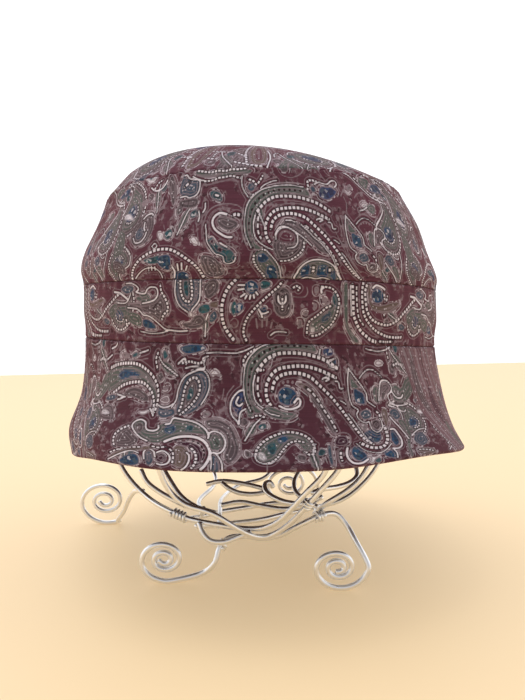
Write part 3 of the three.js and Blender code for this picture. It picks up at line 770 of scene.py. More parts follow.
BRIM_CHART = """
patch navy   42,18 46,19.3 49.5,18 49.5,14 47,12 43,13 41.5,15.5
patch tan    40.5,22 42.5,23 44,21 42.5,18.8 40.5,19.5
patch navy   54.5,17 56,18.5 58,15.5 58,11 55.5,9 54,12.5
patch navy   49.5,6.5 53.5,6.5 54.5,3.5 53.5,1.5 49.5,3 48.5,5
patch navy   35.5,10.5 38,11 40,8 41,4.5 39,2.3 36,3.5 34.5,7
patch cream  41,5 44.5,4 46.5,5.5 47,4.3 44,2.7 43,1 41.5,1.5 42.5,3.5
patch teal   43.5,2 46,3.3 46.5,1 44.5,0.5
patch slate  25.5,12 26.8,12 26.8,4 26,1 25,6
patch deep   28.5,13 30,16.5 33.5,16.5 34,13 31,12
beads cream  0.95 2.1 39.5,12.5 41.5,11 44,9.5 47,9 49.5,9.5 51.5,11.5 52.5,14 52.8,17 52.3,20.5
line  cream  0.36 37.5,12.5 40,9 43,7 47,6 50.5,7.5 53.5,10.5
line  cream  0.6 55,18.7 57,18.6 58.3,16 59.2,12.5 58.5,9 56.5,7.3 53.5,7.5
line  cream  0.5 53.8,7 54.7,4.5 54.2,1.5
line  cream  0.65 33.3,10.5 32.6,7.5 33,4.5 34.8,2 38,1.6 41,3.2
line  tan    0.45 27,1 26.8,6 27,11 28,15.5 30.5,18 33.5,18.3 35.5,16.5 35,13
line  tan    0.4 29.5,1 29,5 29.5,9 31,11
beads cream  0.6 2.2 30.4,9 30,6.5 30.2,4
patch sage   -1,8 0,12 4,16.5 9,18.7 15,18 18.5,15 19.5,11 17,10 14,14 11,13.5 8.5,9.5 6,6 3,4.5 0,5.5
patch navy   7,16.5 9,18 10.8,16.5 10,14.5 7.5,14.3
patch teal   3,13 6,14.5 6.5,10.5 5,8 3.5,10
beads cream  0.6 1.7 -1,8 -0.5,11 1,13.8 3.5,16.3 6.5,18 10.5,19.2 14.5,18.7 17.5,17.2 19.5,14.8
    20.3,11.5 20,9 18.5,7.8 17.2,9.3
beads cream  0.5 1.5 3,4 5,5 6.8,7 8,9.5 9.5,12 11.5,14.3 14,15 16.5,14.5
line  cream  0.4 -1.2,8 -0.5,5.5 1.5,4 4,3.8 5.5,5
patch cream  0,9.5 1.5,9.3 2.3,8 2.7,6 1.8,5.5 0.2,6.8
line  tan    0.4 3,4 3,0
line  tan    0.4 12,9 14,6 17,5
patch umber  -2.5,9 -4.5,10.5 -4.5,8 -3,7
patch navy   -4,45 -2,47 2,47.8 3,46 0,43.8 -3,43.8
patch umber  2,48 4.5,47.5 4,44.5 1.5,44
beads cream  0.5 1.5 -1,50 -4,48.5 -6,46.5 -6,44.5 -4,43 -1,42.8 2,43
line  cream  0.36 4.5,51 6,49 6.3,47
line  cream  0.36 -22,48.4 -17,48.7 -10,48.5 -6,49.3 -2,51
line  cream  0.4 -2,46.5 -0.5,45.8
patch indigo -9.5,34 -8,36 -5,37 -4.5,34 -6,31 -7,26 -9,28 -10.5,31
patch slate  -5,36.5 -2.5,37 -2,31 -4.5,30.5
patch sage   -4.5,30 -2,30 -2,26.5 -4,26
line  cream  0.45 -5,36.8 -8,36 -10.3,33.5 -11,30.5 -10.3,27 -8,24 -7.3,22.8 -7.2,25.5 -6.8,28 -5,29.3
line  cream  0.5 -8,34 -8.8,31.8 -7.5,30.5 -6.3,31.5
line  tan    0.36 -10,38 -12.5,35 -13,31 -12.5,27
line  tan    0.36 -14,37 -14.5,33
patch slate  -33.5,30 -33,36 -30.5,41 -26,43 -22,42 -20,38 -21,34 -23.5,30 -28,27 -32,27
patch umber  -31,30 -30.3,36 -28,39.7 -25.5,39 -25,35 -27,31 -30,28
patch teal   -29.5,34 -28.5,37.5 -26.8,36.5 -27,33.5 -28.8,32.8
line  cream  0.4 -35.5,30 -34,33 -33.5,37 -31.5,40.5 -27.5,42.3 -23.5,43 -20.8,41 -20,38 -21,34.5 -23,31
beads cream  0.55 1.5 -32,28 -31.3,31 -31,35 -30.3,38 -28.5,40 -26,40.5 -24.3,38.5 -24.2,36 -25.3,33.5
    -27.5,30.5 -29.5,28.5 -31,27
line  tan    0.36 -20,39.5 -18.2,40.3
line  tan    0.36 -19.8,38 -17.7,38.3
line  tan    0.36 -19.8,36.5 -17.8,36.3
line  tan    0.36 -20.2,35 -18.3,34.5
line  tan    0.36 -20.8,33.5 -19,32.6
patch cream  -20,41.5 -18,43 -15.5,41.2 -17.3,41.4
patch slate  -41.5,30 -38,29.5 -34.5,29.5 -33.5,27 -38,25.5 -41,27
line  cream  0.45 -42,31 -39.5,30 -37,30.3 -34.8,31.5
patch tan    -41,33 -38.5,34 -37.5,32.5 -39,32.3
patch tan    -41,37 -39,38 -38,37.3 -39.5,36.5
patch tan    -22,27.5 -20,28.5 -18.5,27 -20.5,26
line  tan    0.4 -24,29.5 -20.5,31.5 -18,29.5
patch sage   -75,43 -66,44 -56,44 -49,41.5 -44.5,37 -43,31 -44.5,31 -46.5,35 -50,38.5 -56,40 -64,38.5
    -70,36.5 -75,36
patch navy   -68,41 -64,42.7 -57,42.3 -54,41 -60,40.5 -65,39.8
patch umber  -62,36 -56,37.5 -50,36 -47,33 -50,32.5 -56,34 -61,34.5
beads cream  0.6 1.8 -75,43 -70,44 -64,44.6 -57,44.6 -52,43.5 -47.5,41.5 -44.5,39 -43,36 -42.5,32
    -42.8,28
beads cream  0.6 1.8 -74,34 -69,36 -64,38 -58,39 -52,39 -48,37.3 -45.5,34.8 -44,31 -43.7,27.5
patch slate  -75,34 -70,35 -66,34 -70,32.5 -75,32.5
line  cream  0.45 -67,35 -64,34.5 -61,34
line  cream  0.45 -66,33 -64,33.3 -62,34
patch cream  -51,28.3 -48,28.5 -45.5,29.3 -46,27.8 -48,27 -50,27.3
line  cream  0.5 -45.5,29.5 -44,28 -43,26.5
line  tan    0.36 -54,31.3 -51,31.6 -48.5,31
line  tan    0.36 -46,32.5 -45,30.5
patch umber  -75,30 -70,31 -66.5,29 -64,25 -66,24 -75,25
line  tan    0.4 -75,31 -70,31 -66,28 -64,24.5
line  tan    0.4 -75,29 -70,29 -67,26.5 -66,24.3
patch cream  -75,28.5 -72,28.5 -68.5,27 -71,26.6 -75,27
patch sage   -51,22 -49,24.5 -46,23.5 -45,20.5 -42,19.8 -39,20.5 -38.5,23 -35,23.5 -33.5,25.5 -28,25
    -22.5,23 -19.5,20 -18.5,17.5 -22,18.5 -28,18.3 -33,16.5 -38,14 -43,14.5 -47.5,17.5
patch umber  -49.5,22.5 -47,23 -46,20.5 -47.5,18.5 -49.5,20.5
patch navy   -36,22 -33,22.8 -31.5,20.5 -33,18.5 -36,19.3
patch teal   -27,22.5 -24.5,22 -25,19.8 -27.5,20
line  cream  0.5 -43,14.8 -46.5,16.5 -50,19.5 -51.7,22 -50.5,24 -48,24.7 -45.5,23.5 -44.8,21.3 -43.5,20
    -40.8,19.7 -39,20.8 -39.3,22.2
line  cream  0.5 -36.5,22.8 -34.5,23.2 -33.5,25.5 -30,25 -26,24.3 -22.5,22.8 -19.5,20.2 -18.3,17.5
patch deep   -31,14.5 -27,15 -22.5,13.5 -20.3,10 -20.5,6 -22,3 -24,3 -22.5,8 -24,11.5 -28,13
line  cream  0.75 -35.5,14.8 -32.5,16.3 -29,17.3 -24.5,17.3 -21,16 -18.8,13.5 -17.6,10 -18,6.5 -19.5,3
    -21,1
beads dark   0.7 2.2 -33,15 -29.5,16 -25,15.8 -21.8,14.2 -19.8,11.2 -19.6,7.5 -20.8,4
patch ochre  -31,12.5 -27.5,12.5 -25.5,9 -26,4 -28,1.5 -31.5,2.5 -32.5,7.5
beads cream  0.6 1.8 -25,12 -23.5,10 -22.8,7 -23.2,4 -24.5,1.5
line  cream  0.5 -26.5,9.5 -25.5,8 -25.6,5 -26.8,2 -28.5,0.5
beads cream  0.5 2.2 -33.5,11.5 -32,9.5 -31.7,7 -32,4
patch deep   -38.5,8 -36,8.8 -34.5,7 -35,4.5 -37.5,3.7 -39,5.5
line  cream  0.5 -38.5,9 -36,10 -33.8,8.5 -33,6 -34,3.5 -36.5,2.5 -38.5,3
line  tan    0.36 -37.5,7 -35.7,7.3 -35.3,5.3 -37,4.7
patch slate  -43.5,8 -42,10 -40.3,8.5 -40,4 -42,1.5 -43.5,4
line  cream  0.5 -44,5 -44,9 -42,10.7 -39.8,9.5 -39.2,6.5
patch navy   -56,3 -52.5,6 -48.5,7.5 -46.5,5.5 -46.5,2 -50,0.5 -55,1
patch ochre  -62,4.5 -58,7.5 -52,10 -47,11 -42,12.5 -38,12.5 -40,11 -46,9.5 -51,9 -56,7 -60,4
line  cream  0.45 -63,2 -60,4 -56,6.5 -52,8.5 -49,9 -46.5,8
beads cream  0.5 2.2 -62,6.5 -57,9 -52,10.8 -46,11.4
beads cream  0.5 2.0 -41,12.3 -38,11.7 -35,12.2
patch umber  -58,20 -54,21 -50,18 -47,15 -50,11.5 -56,10.5 -60,12 -60,17
beads cream  0.65 1.9 -59.2,11 -60,14 -59.8,17 -58,19 -56,20.5 -53.5,21.6
patch sage   -19,17 -17,18.7 -13.5,17.5 -12.5,14 -14,11 -17,11 -18,14
line  cream  0.5 -18.5,16.5 -18,19 -16,19.7 -13.5,18.3 -12,15 -12.5,11.5 -14.2,9.3 -16.5,9.5
line  dark   0.36 -17,17.5 -15.5,15 -14,12
patch slate  -17,8 -15,7 -14,3 -14.5,0 -17,0
line  cream  0.45 -16,9.7 -14.5,7.5 -13.3,4.5 -13,0.5
line  cream  0.36 -17.5,9.5 -17,5 -17.3,1
patch umber  -20,24.5 -15,24.8 -10.5,22 -8,17 -7,12 -8,7 -11,4 -12.3,8 -11.3,13 -12,18 -15,20.5 -19,21.5
line  tan    0.5 -22,24.5 -19.5,25.3 -16,25.5 -13,24 -10.5,23 -9,20.5 -8,17.5 -6.5,14.5 -6.3,11 -7.5,7
    -9.5,4 -11.5,2.5 -12.5,1.2
line  tan    0.36 -18,23.5 -14,22 -11,19.5 -9.5,16.5 -8.5,13
patch sage   60,38 63,39 66,38 70,41 75,42 75,38 70,34 65,32 60.5,33.5
patch umber  62,37 65,36.5 65,35.3 62.5,35.5
line  cream  0.45 59.5,37 62,34.5 65,34.3 66.5,35.5
line  cream  0.4 59,32 61,31 65,31 68,31.5
line  cream  0.36 68,45.5 71,45.5 75,47
beads cream  0.5 1.6 63,45 65,45.5 68,45.5
line  tan    0.36 57,39 57.5,35 59,31 62,29 66,28.5
line  cream  0.36 48,50.5 53,49.8 58,50 63,51.5
patch cream  52.5,45.5 54.5,46.5 57,45.7 54.5,45
line  tan    0.36 51,41.5 55,42 59,42
patch slate  66,12 69,16 73,15 74,10 70,7 67,8.5
line  cream  0.4 65.5,14 68,16 71,17.5 75,18
patch sage   61,8 63.5,15 65,14 63,8 62,1 60.5,2
line  tan    0.4 60.5,12 61.5,6 61,1
patch ochre  66,5 70,5.5 75,4 75,1 67,1
beads cream  0.5 1.8 66,4.5 70,4 74,2.5
patch navy   -34,50 -30,51.5 -24,51.5 -22,50 -26,48.5 -31,48
beads cream  0.5 1.4 -33,45 -29,45.5 -25,45 -22.5,46
line  cream  0.45 -34.5,44.8 -31.5,46.5 -30.8,44.8
line  cream  0.36 -31,43.5 -27,44 -22.5,43.5 -23.5,46.5 -21,47.3
line  tan    0.4 -39,51.5 -40.5,49 -39.5,47 -42,45.5
patch teal   -60,47 -57,48.3 -55,47.5 -58,46.3
line  cream  0.4 -55,48 -52,48.5 -50,49
line  tan    0.36 -75,47 -68,47.5 -62,46 -55,45.8 -50,46.3
patch tan    -67,47 -64,48 -61,47 -64,46
line  cream  0.45 -75,49 -71,50 -70,51
patch navy   15.5,51.5 17,52 18.5,51
line  cream  0.45 16.3,51.3 17.5,51
patch indigo 27,50 31,50.5 31.5,48 28,47.5
patch navy   30,46.5 33,46.5 32.5,44.5 30,44.7
line  cream  0.4 26,50 25.3,47.5
line  cream  0.4 29,46 32,46.7
line  cream  0.4 29.5,44.4 32.5,43.8
beads tan    0.45 1.6 8,47.8 14,49 20,48.5 26,47.8
"""
# Long streaks down the right of the brim, which come only once. Their pale rose patch is painted sheen where
# the brim turns away, and their tan and dark streaks are painted shade along its folds.
SHEEN_AND_SHADE_STREAKS_CHART = """
patch rose   62,75 67,54 73,41 77,28 87,14 93,-2 104,-20 140,-20 131,-2 125,12 117,27 112,40 106,54
    101,75
line  tan    0.9 72,51 77,39 82,28 92,12 97,0
line  cream  0.36 77,51 81,40 87,26 97,13 102,0
line  tan    1.1 83,51 85,41 93,28 101,13 108,0
line  dark   0.5 87,51 89,41 97,27 105,13 112,0
line  tan    0.9 91,51 94,40 100,29 110,14 116,0
line  cream  0.36 95,51 99,41 105,29 115,15 121,0
patch umber  76,46 79,46 81,38 86,30 84,27 78,35
patch deep   88,37 91,38 94,31 98,22 96,20 90,28
patch sage   97,20 101,21 105,12 109,4 107,2 100,10
beads cream  0.45 1.8 82,19 86,13 91,6 94,-1
"""
TIP_CHART = """
patch sage   8,-86 11,-76 14,-64 20,-56 27,-60 26,-74 23,-86
patch umber  -18,-86 -14,-72 -8,-62 -2,-66 -3,-78 -6,-88
patch teal   30,-66 38,-62 46,-54 44,-48 36,-52 30,-58
patch slate  -58,-60 -52,-52 -46,-50 -44,-58 -50,-64
patch navy   60,-24 68,-20 71,-8 66,-4 60,-12
patch sage   -72,-30 -66,-22 -62,-8 -68,-2 -76,-12
patch umber  44,-36 52,-30 56,-20 50,-16 44,-24
patch indigo -30,-50 -24,-44 -18,-46 -20,-54 -27,-56
patch sage   -12,52 -2,58 10,60 20,56 14,50 0,48
patch teal   -60,30 -54,40 -44,48 -40,42 -48,32 -56,24
patch umber  46,30 54,38 58,48 50,52 42,42
line  tan    0.5 12,-84 14,-74 17,-66 21,-60
line  tan    0.5 16,-85 18,-76 21,-68 25,-62
line  cream  0.4 20,-84 22,-76 25,-69
line  tan    0.5 -16,-84 -12,-73 -7,-65
line  tan    0.5 -12,-86 -8,-76 -4,-69
line  cream  0.45 3,-86 5,-76 4,-66 0,-58 -6,-52
line  cream  0.45 30,-80 33,-70 40,-63 48,-57 52,-50
beads cream  0.7 2.0 -36,-62 -28,-68 -22,-72 -12,-78 -4,-82 4,-85
beads cream  0.6 1.9 -34,-56 -26,-62 -18,-66 -10,-70 -6,-74
beads cream  0.65 1.9 36,-76 44,-68 52,-60 58,-50 62,-40 64,-30
beads cream  0.6 1.9 -66,-50 -60,-44 -56,-36 -56,-28 -60,-20 -66,-14
line  cream  0.45 -70,-44 -64,-36 -62,-26 -66,-16
line  tan    0.45 -46,-44 -40,-36 -38,-28 -42,-20
line  tan    0.45 66,-36 70,-26 73,-16
beads cream  0.6 1.8 56,-8 62,2 64,14 60,26 52,34
line  cream  0.4 60,-6 66,4 68,16 64,28 56,38
beads cream  0.6 1.9 -20,40 -8,46 6,47 20,44 30,38
line  cream  0.4 -22,62 -8,68 8,69 24,64 34,56
beads cream  0.6 1.9 -70,8 -66,20 -58,32 -48,42 -36,50
line  cream  0.4 -74,10 -70,24 -62,36 -52,46
"""


def placed(*places):
    """The rows of each (motif, x, y, turn, size), the first ones lowest."""
    rows = []
    for motif, *place in places:
        rows += charted(motif, *place)
    return rows


# How many places a ring of motifs on the tip has, and which of them a motif takes
TIP_PLACES = 17
EACH, EVEN, ODD = slice(None), slice(None, None, 2), slice(1, None, 2)


def ringed(motif, reach, turned, size, places, ahead=0):
    """The motif turned outwards on a ring of the tip, at those of its places and so far ahead of them."""
    rows = []
    for turn in np.arange(TIP_PLACES)[places] * 360 / TIP_PLACES:
        rows.append((motif, *at(turn + ahead, reach, 0)[:2], turn + turned, size))
    return rows


SIDE_PRINT = placed(
    (PAISLEY, -68, 38, 15, 1.1), (PAISLEY, 67, 30, -20, 1.0), (PAISLEY, -68, 11, 160, 0.9),
    (SPRIG, -51, 41, 20, 0.9), (SPRIG, 70, 45, -60, 0.9), (SPRIG, 0, 33, 30, 0.8),
    (SPRIG, -33, 31, -15, 0.9), (SPRIG, 58, 6, 30, 0.9), (SIDE_CHART,), (GREAT_HOOK, 12, 23),
    (ROSE_CORE, 12, 23), (VINE_SPRAY, 47, 18),
)
BAND_PRINT = placed(
    (PAISLEY, -66, 12, -60, 0.8), (SPRIG, 62, 13, 70, 0.7), (SPRIG, -22, 8, 0, 0.7), (BAND_CHART,),
)
BRIM_PRINT = placed(
    (PAISLEY, 68, 24, 30, 0.9), (SPRIG, 66, 47, 60, 0.9), (SPRIG, -53, 5, 10, 0.8),
    (SPRIG, -40, 44, 70, 0.8), (SPRIG, 20, 6, 15, 0.9), (SPRIG, -2, 21, -20, 0.8), (BRIM_CHART,),
    (GREAT_HOOK, 12, 33.3), (NAVY_CORE, 12, 33.3), (VINE_SPRAY, 44.3, 29.3),
)
# The painted sheen and painted shade down the right of the brim, with a sprig and a paisley of print on them
SHEEN_SHADE_AND_PRINT = placed((SHEEN_AND_SHADE_STREAKS_CHART,), (SPRIG, 104, 32, 30, 0.9), (PAISLEY, 119, 8, 35, 0.7))
TIP_PRINT = placed(
    (TIP_CHART,), (GREAT_HOOK, -38, -26, 20), (NAVY_CORE, -38, -26, 20), (GREAT_HOOK, 26, -22, 165),
    (ROSE_CORE, 26, -22, 165), (GREAT_HOOK, -26, 20, 60), (ROSE_CORE, -26, 20, 60),
    (GREAT_HOOK, 22, 22, -60), (NAVY_CORE, 22, 22, -60), (VINE_SPRAY, -2, -36), (VINE_SPRAY, -8, 2, -40),
    *ringed(PLUME, 66, 0, 0.95, EVEN), *ringed(PAISLEY, 66, -30, 1.3, ODD),
    *ringed(SPRIG, 76, 50, 1.1, EACH, ahead=10), *ringed(SPRIG, 54, -40, 1.0, EACH, ahead=6),
)


# A cloth panel is one closed section carried round the hat: up its outer face, round its rolled
# edge and back down its inner face.
EDGE_STEPS = 3
OUTER_STEP = 0.55
INNER_ROWS = 5

# What lies deeper than this share of the cloth counts as its inner face.
INNER_DEPTH = 0.75

# The columns of a panel lie closer together over the front, as far as this azimuth on both sides.
FRONT_SPAN = 95.0


def columns(front, back):
    """The azimuths of a panel's columns, so many over the front and so many over the back."""
    ahead = np.linspace(-FRONT_SPAN, FRONT_SPAN, front, endpoint=False)
    behind = np.linspace(FRONT_SPAN, 360 - FRONT_SPAN, back, endpoint=False)
    return np.concatenate([ahead, behind])


def rolled(end, reach, cloth):
    """Rows of (distance along the panel, depth in the cloth) over half an ellipse at an edge."""
    turns = np.linspace(0, np.pi, 2 * EDGE_STEPS + 1)[1:-1]
    return [(end + reach * np.sin(turn), cloth * (1 - np.cos(turn)) / 2) for turn in turns]


def wall_section(length, cloth, edges):
    """The rows of a wall panel's closed section. Each of its two edges is rolled as far as edges says."""
    low, high = edges
    count = int(round((length - low - high) / OUTER_STEP)) + 1
    outer = [(along, 0.0) for along in np.linspace(low, length - high, count)]
    inner = [(along, cloth) for along in np.linspace(length - high, low, INNER_ROWS)]
    return np.array(outer + rolled(length - high, high, cloth) + inner + rolled(low, -low, cloth)[::-1])


# Close to a seam the cloth draws up in small waves.
PUCKER = 0.22
PUCKER_FADE = 5.0
PUCKER_WAVES = [(83, 0.4, 1.0), (61, 2.1, 0.8), (107, 4.4, 0.6), (37, 1.3, 0.5)]


def puckered(along, azimuth, seams):
    """A sum of sines round the hat, which fades out by e to the minus distance from each seam."""
    turn = np.radians(azimuth)
    waves = sum(tall * np.sin(count * turn + start) for count, start, tall in PUCKER_WAVES)
    fade = sum(np.exp(-np.abs(along - seam) / PUCKER_FADE) for seam in seams)
    return PUCKER * waves * fade


def dress(piece, cloth, inner):
    """Puts the print's dye and inks on the mesh. The inner face is plain and paler."""
    cloth.dye[inner] = linear(DYES["reverse"])
    dye = piece.data.attributes.new("dye", "FLOAT_COLOR", "POINT")
    dye.data.foreach_set("color", cloth.dye.ravel())
    inks = np.stack([cloth.inks[name] for name in INKS], -1)
    inks[inner] = -REACH
    lines = piece.data.attributes.new("inks", "FLOAT_VECTOR", "POINT")
    lines.data.foreach_set("vector", inks.ravel())
    cloth.body[inner] = -REACH
    for name, values in (("block", cloth.block), ("body", cloth.body)):
        layer = piece.data.attributes.new(name, "FLOAT", "POINT")
        layer.data.foreach_set("value", values)


def wall_panel(panel, material):
    """The section's rows at every azimuth. A share of the panel's length is the same share of its rings."""
    length, cloth, azimuths = panel["length"], panel["cloth"], columns(*panel["columns"])
    rows = wall_section(length, cloth, panel["edges"])
    along, azimuth = np.meshgrid(rows[:, 0], azimuths, indexing="ij")
    depth = np.broadcast_to(rows[:, 1, None], along.shape)
    ring = panel["first"] + (panel["last"] - panel["first"]) * along / length
    seams = [length * seam for seam in panel["seams"]]
    points = sunk(wall_point, ring, azimuth, depth - puckered(along, azimuth, seams)).reshape(-1, 3)
    faces = loop_faces(len(rows), len(azimuths), True)
    piece = piece_from(f"{panel['node']}_cloth", points, faces, material, panel["node"])
    across = np.radians(azimuth.ravel()) * ROUND
    cloth_print = Print(across, along.ravel(), panel["ground"])
    cloth_print.lay(panel["print"], True)
    cloth_print.lay(panel["once"], False)
    dress(piece, cloth_print, depth.ravel() > INNER_DEPTH * cloth)
    lay_out(piece, across, along.ravel(), 2 * np.pi * ROUND)


TIP_COLUMNS = (470, 350)
TIP_REACH = 88.0
TIP_EDGE = 0.8
TIP_STEP = 0.95
TIP_LAST = 0.6
TIP_INNER_ROWS = 10
TIP_INNER_LAST = 4.0


def tip_panel(material):
    """The tip's section from under its highest point, out along its inner face, round its edge and back."""
    count = int(round((TIP_REACH - TIP_EDGE) / TIP_STEP)) + 1
    outer = [(along, 0.0) for along in np.linspace(TIP_EDGE, TIP_REACH - TIP_LAST, count)]
    inside = np.linspace(TIP_REACH - TIP_INNER_LAST, TIP_EDGE, TIP_INNER_ROWS)
    inner = [(along, CROWN_CLOTH) for along in inside]
    rows = np.array(inner + rolled(TIP_EDGE, -TIP_EDGE, CROWN_CLOTH)[::-1] + outer)
    azimuths = columns(*TIP_COLUMNS)
    along, azimuth = np.meshgrid(rows[:, 0], azimuths, indexing="ij")
    depth = np.broadcast_to(rows[:, 1, None], along.shape)
    lifted = depth - puckered(along, azimuth, [0])
    points = sunk(climbing_tip, along / TIP_REACH, azimuth, lifted).reshape(-1, 3)
    points = np.concatenate([points, [TIP_TOP - (0, 0, CROWN_CLOTH), TIP_TOP]])
    faces = capped_faces(len(rows), len(azimuths))
    piece = piece_from("crown_tip_cloth", points, faces, material, "crown_tip")
    cloth_print = Print(points[:, 0], points[:, 1], "wine")
    cloth_print.lay(TIP_PRINT, False)
    dress(piece, cloth_print, np.append(depth.ravel(), [CROWN_CLOTH, 0]) > INNER_DEPTH * CROWN_CLOTH)
    lay_out(piece, points[:, 0], points[:, 1])


def new_material(name):
    """An empty material and its node tree."""
    material = bpy.data.materials.new(name)
    material.use_nodes = True
    tree = material.node_tree
    tree.nodes.clear()
    return material, tree


def add(tree, kind, settings=None, **links):
    """Adds a node with its settings, and links its named inputs to sockets or sets them to values."""
    node = tree.nodes.new(kind)
    for key, value in (settings or {}).items():
        setattr(node, key, value)
    for key, value in links.items():
        numbered = key[0] == "i" and key[1:].isdigit()
        socket = node.inputs[int(key[1:])] if numbered else node.inputs[key.replace("_", " ")]
        if isinstance(value, bpy.types.NodeSocket):
            tree.links.new(value, socket)
        else:
            socket.default_value = value
    return node


# Sizes of the cloth's threads and of the print's fine filling, in millimetres. The threads are drawn
# about twice as coarse as poplin's, so that they can show.
THREAD = 0.6
SLUB = np.array([22.0, 0.7])
FADED_SIZE = np.array([26.0, 26.0])
FILLED_SIZE = 8.0
LEAF_SIZE = 4.0
GRAIN = 1.3
CONTOUR_GAP = 0.7
STIPPLE = 1.5

# What a wave texture's scale has to be for waves one unit long
WAVE_TEXTURE_PERIOD = 0.314

# Ranges over which a dye or the filling comes in: from the first number to the second, and how far it
# covers at each, where that isn't 0 and 1. These are numbers of the textures and of the grains.
CLOUDED = (0.45, 0.53)
LEAFY = (0.44, 0.5, 0.2, 1.0)
DOTTED = (0.3, 0.16, 0.0, 0.7)
FLECKED = (0.5, 0.6)

# These are in millimetres inside a patch, or outside it where less than 0.
OFF_PATCH = (0.1, -0.2)
IN_PATCH = (0.6, 0.9)
FROM_CLEAR = (CLEAR_BODY - 0.1, CLEAR_BODY - 0.02)
UP_TO_CLEAR = (CLEAR_BODY + 0.07, CLEAR_BODY + 0.02)

# These are in millimetres inside a line, and the last in shares of the beads' gap from their middles.
INK_EDGE = (-0.1, 0.12)
RIM_EDGE = (-0.5, -0.2, 0.0, 0.85)
BEAD_EDGE = (0.38, 0.26)

# The filling is a mosaic of grains, each with a random number. Columns: dye, and its range.
LEAFY_GRAINS = [("rose", 0.4, 0.5, 0.15, 0.85), ("tan", 0.74, 0.82, 0.0, 0.85), ("dark", 0.2, 0.14, 0.0, 0.6)]
CLEAR_GRAINS = [("dark", 0.4, 0.34, 0.0, 0.5), ("sage", 0.6, 0.66, 0.0, 0.5), ("cream", 0.88, 0.92, 0.0, 0.6)]

# Soft lines along an edge: how far inside it they run, half their width, and how far they cover.
# LINE_SOFTNESS is half the width of their own soft edges.
CONTOUR = (0.0, 0.2, 0.6)
PATCH_LINE = (0.1, 0.22, 0.85)
FAINT_LINE = (-1.0, 0.2, 0.45)
FLECKED_LINE = (-0.35, 0.2, 0.65)
FINE_LINE = (-1.05, 0.18, 0.7)
LINE_SOFTNESS = 0.12

# Most of a noise lies between its low and its high, which are spread out to the shades.
NOISE_LOW = 0.3
NOISE_HIGH = 0.7
SLUB_SHADES = (0.86, 1.14)
FADED_SHADES = (0.88, 1.12)


def stretched_noise(tree, places, scale, detail):
    """A noise with a scale of its own in each direction of the UV map."""
    stretched = add(tree, "ShaderNodeMapping", Vector=places, Scale=(*scale, 1))
    return add(tree, "ShaderNodeTexNoise", Vector=stretched.outputs[0], Scale=1.0, Detail=detail).outputs[0]


def widened(tree, noise, low, high):
    """The noise's middle part, spread out to run from low to high."""
    wide = add(tree, "ShaderNodeMapRange", Value=noise, From_Min=NOISE_LOW, From_Max=NOISE_HIGH,
               To_Min=low, To_Max=high)
    return wide.outputs[0]


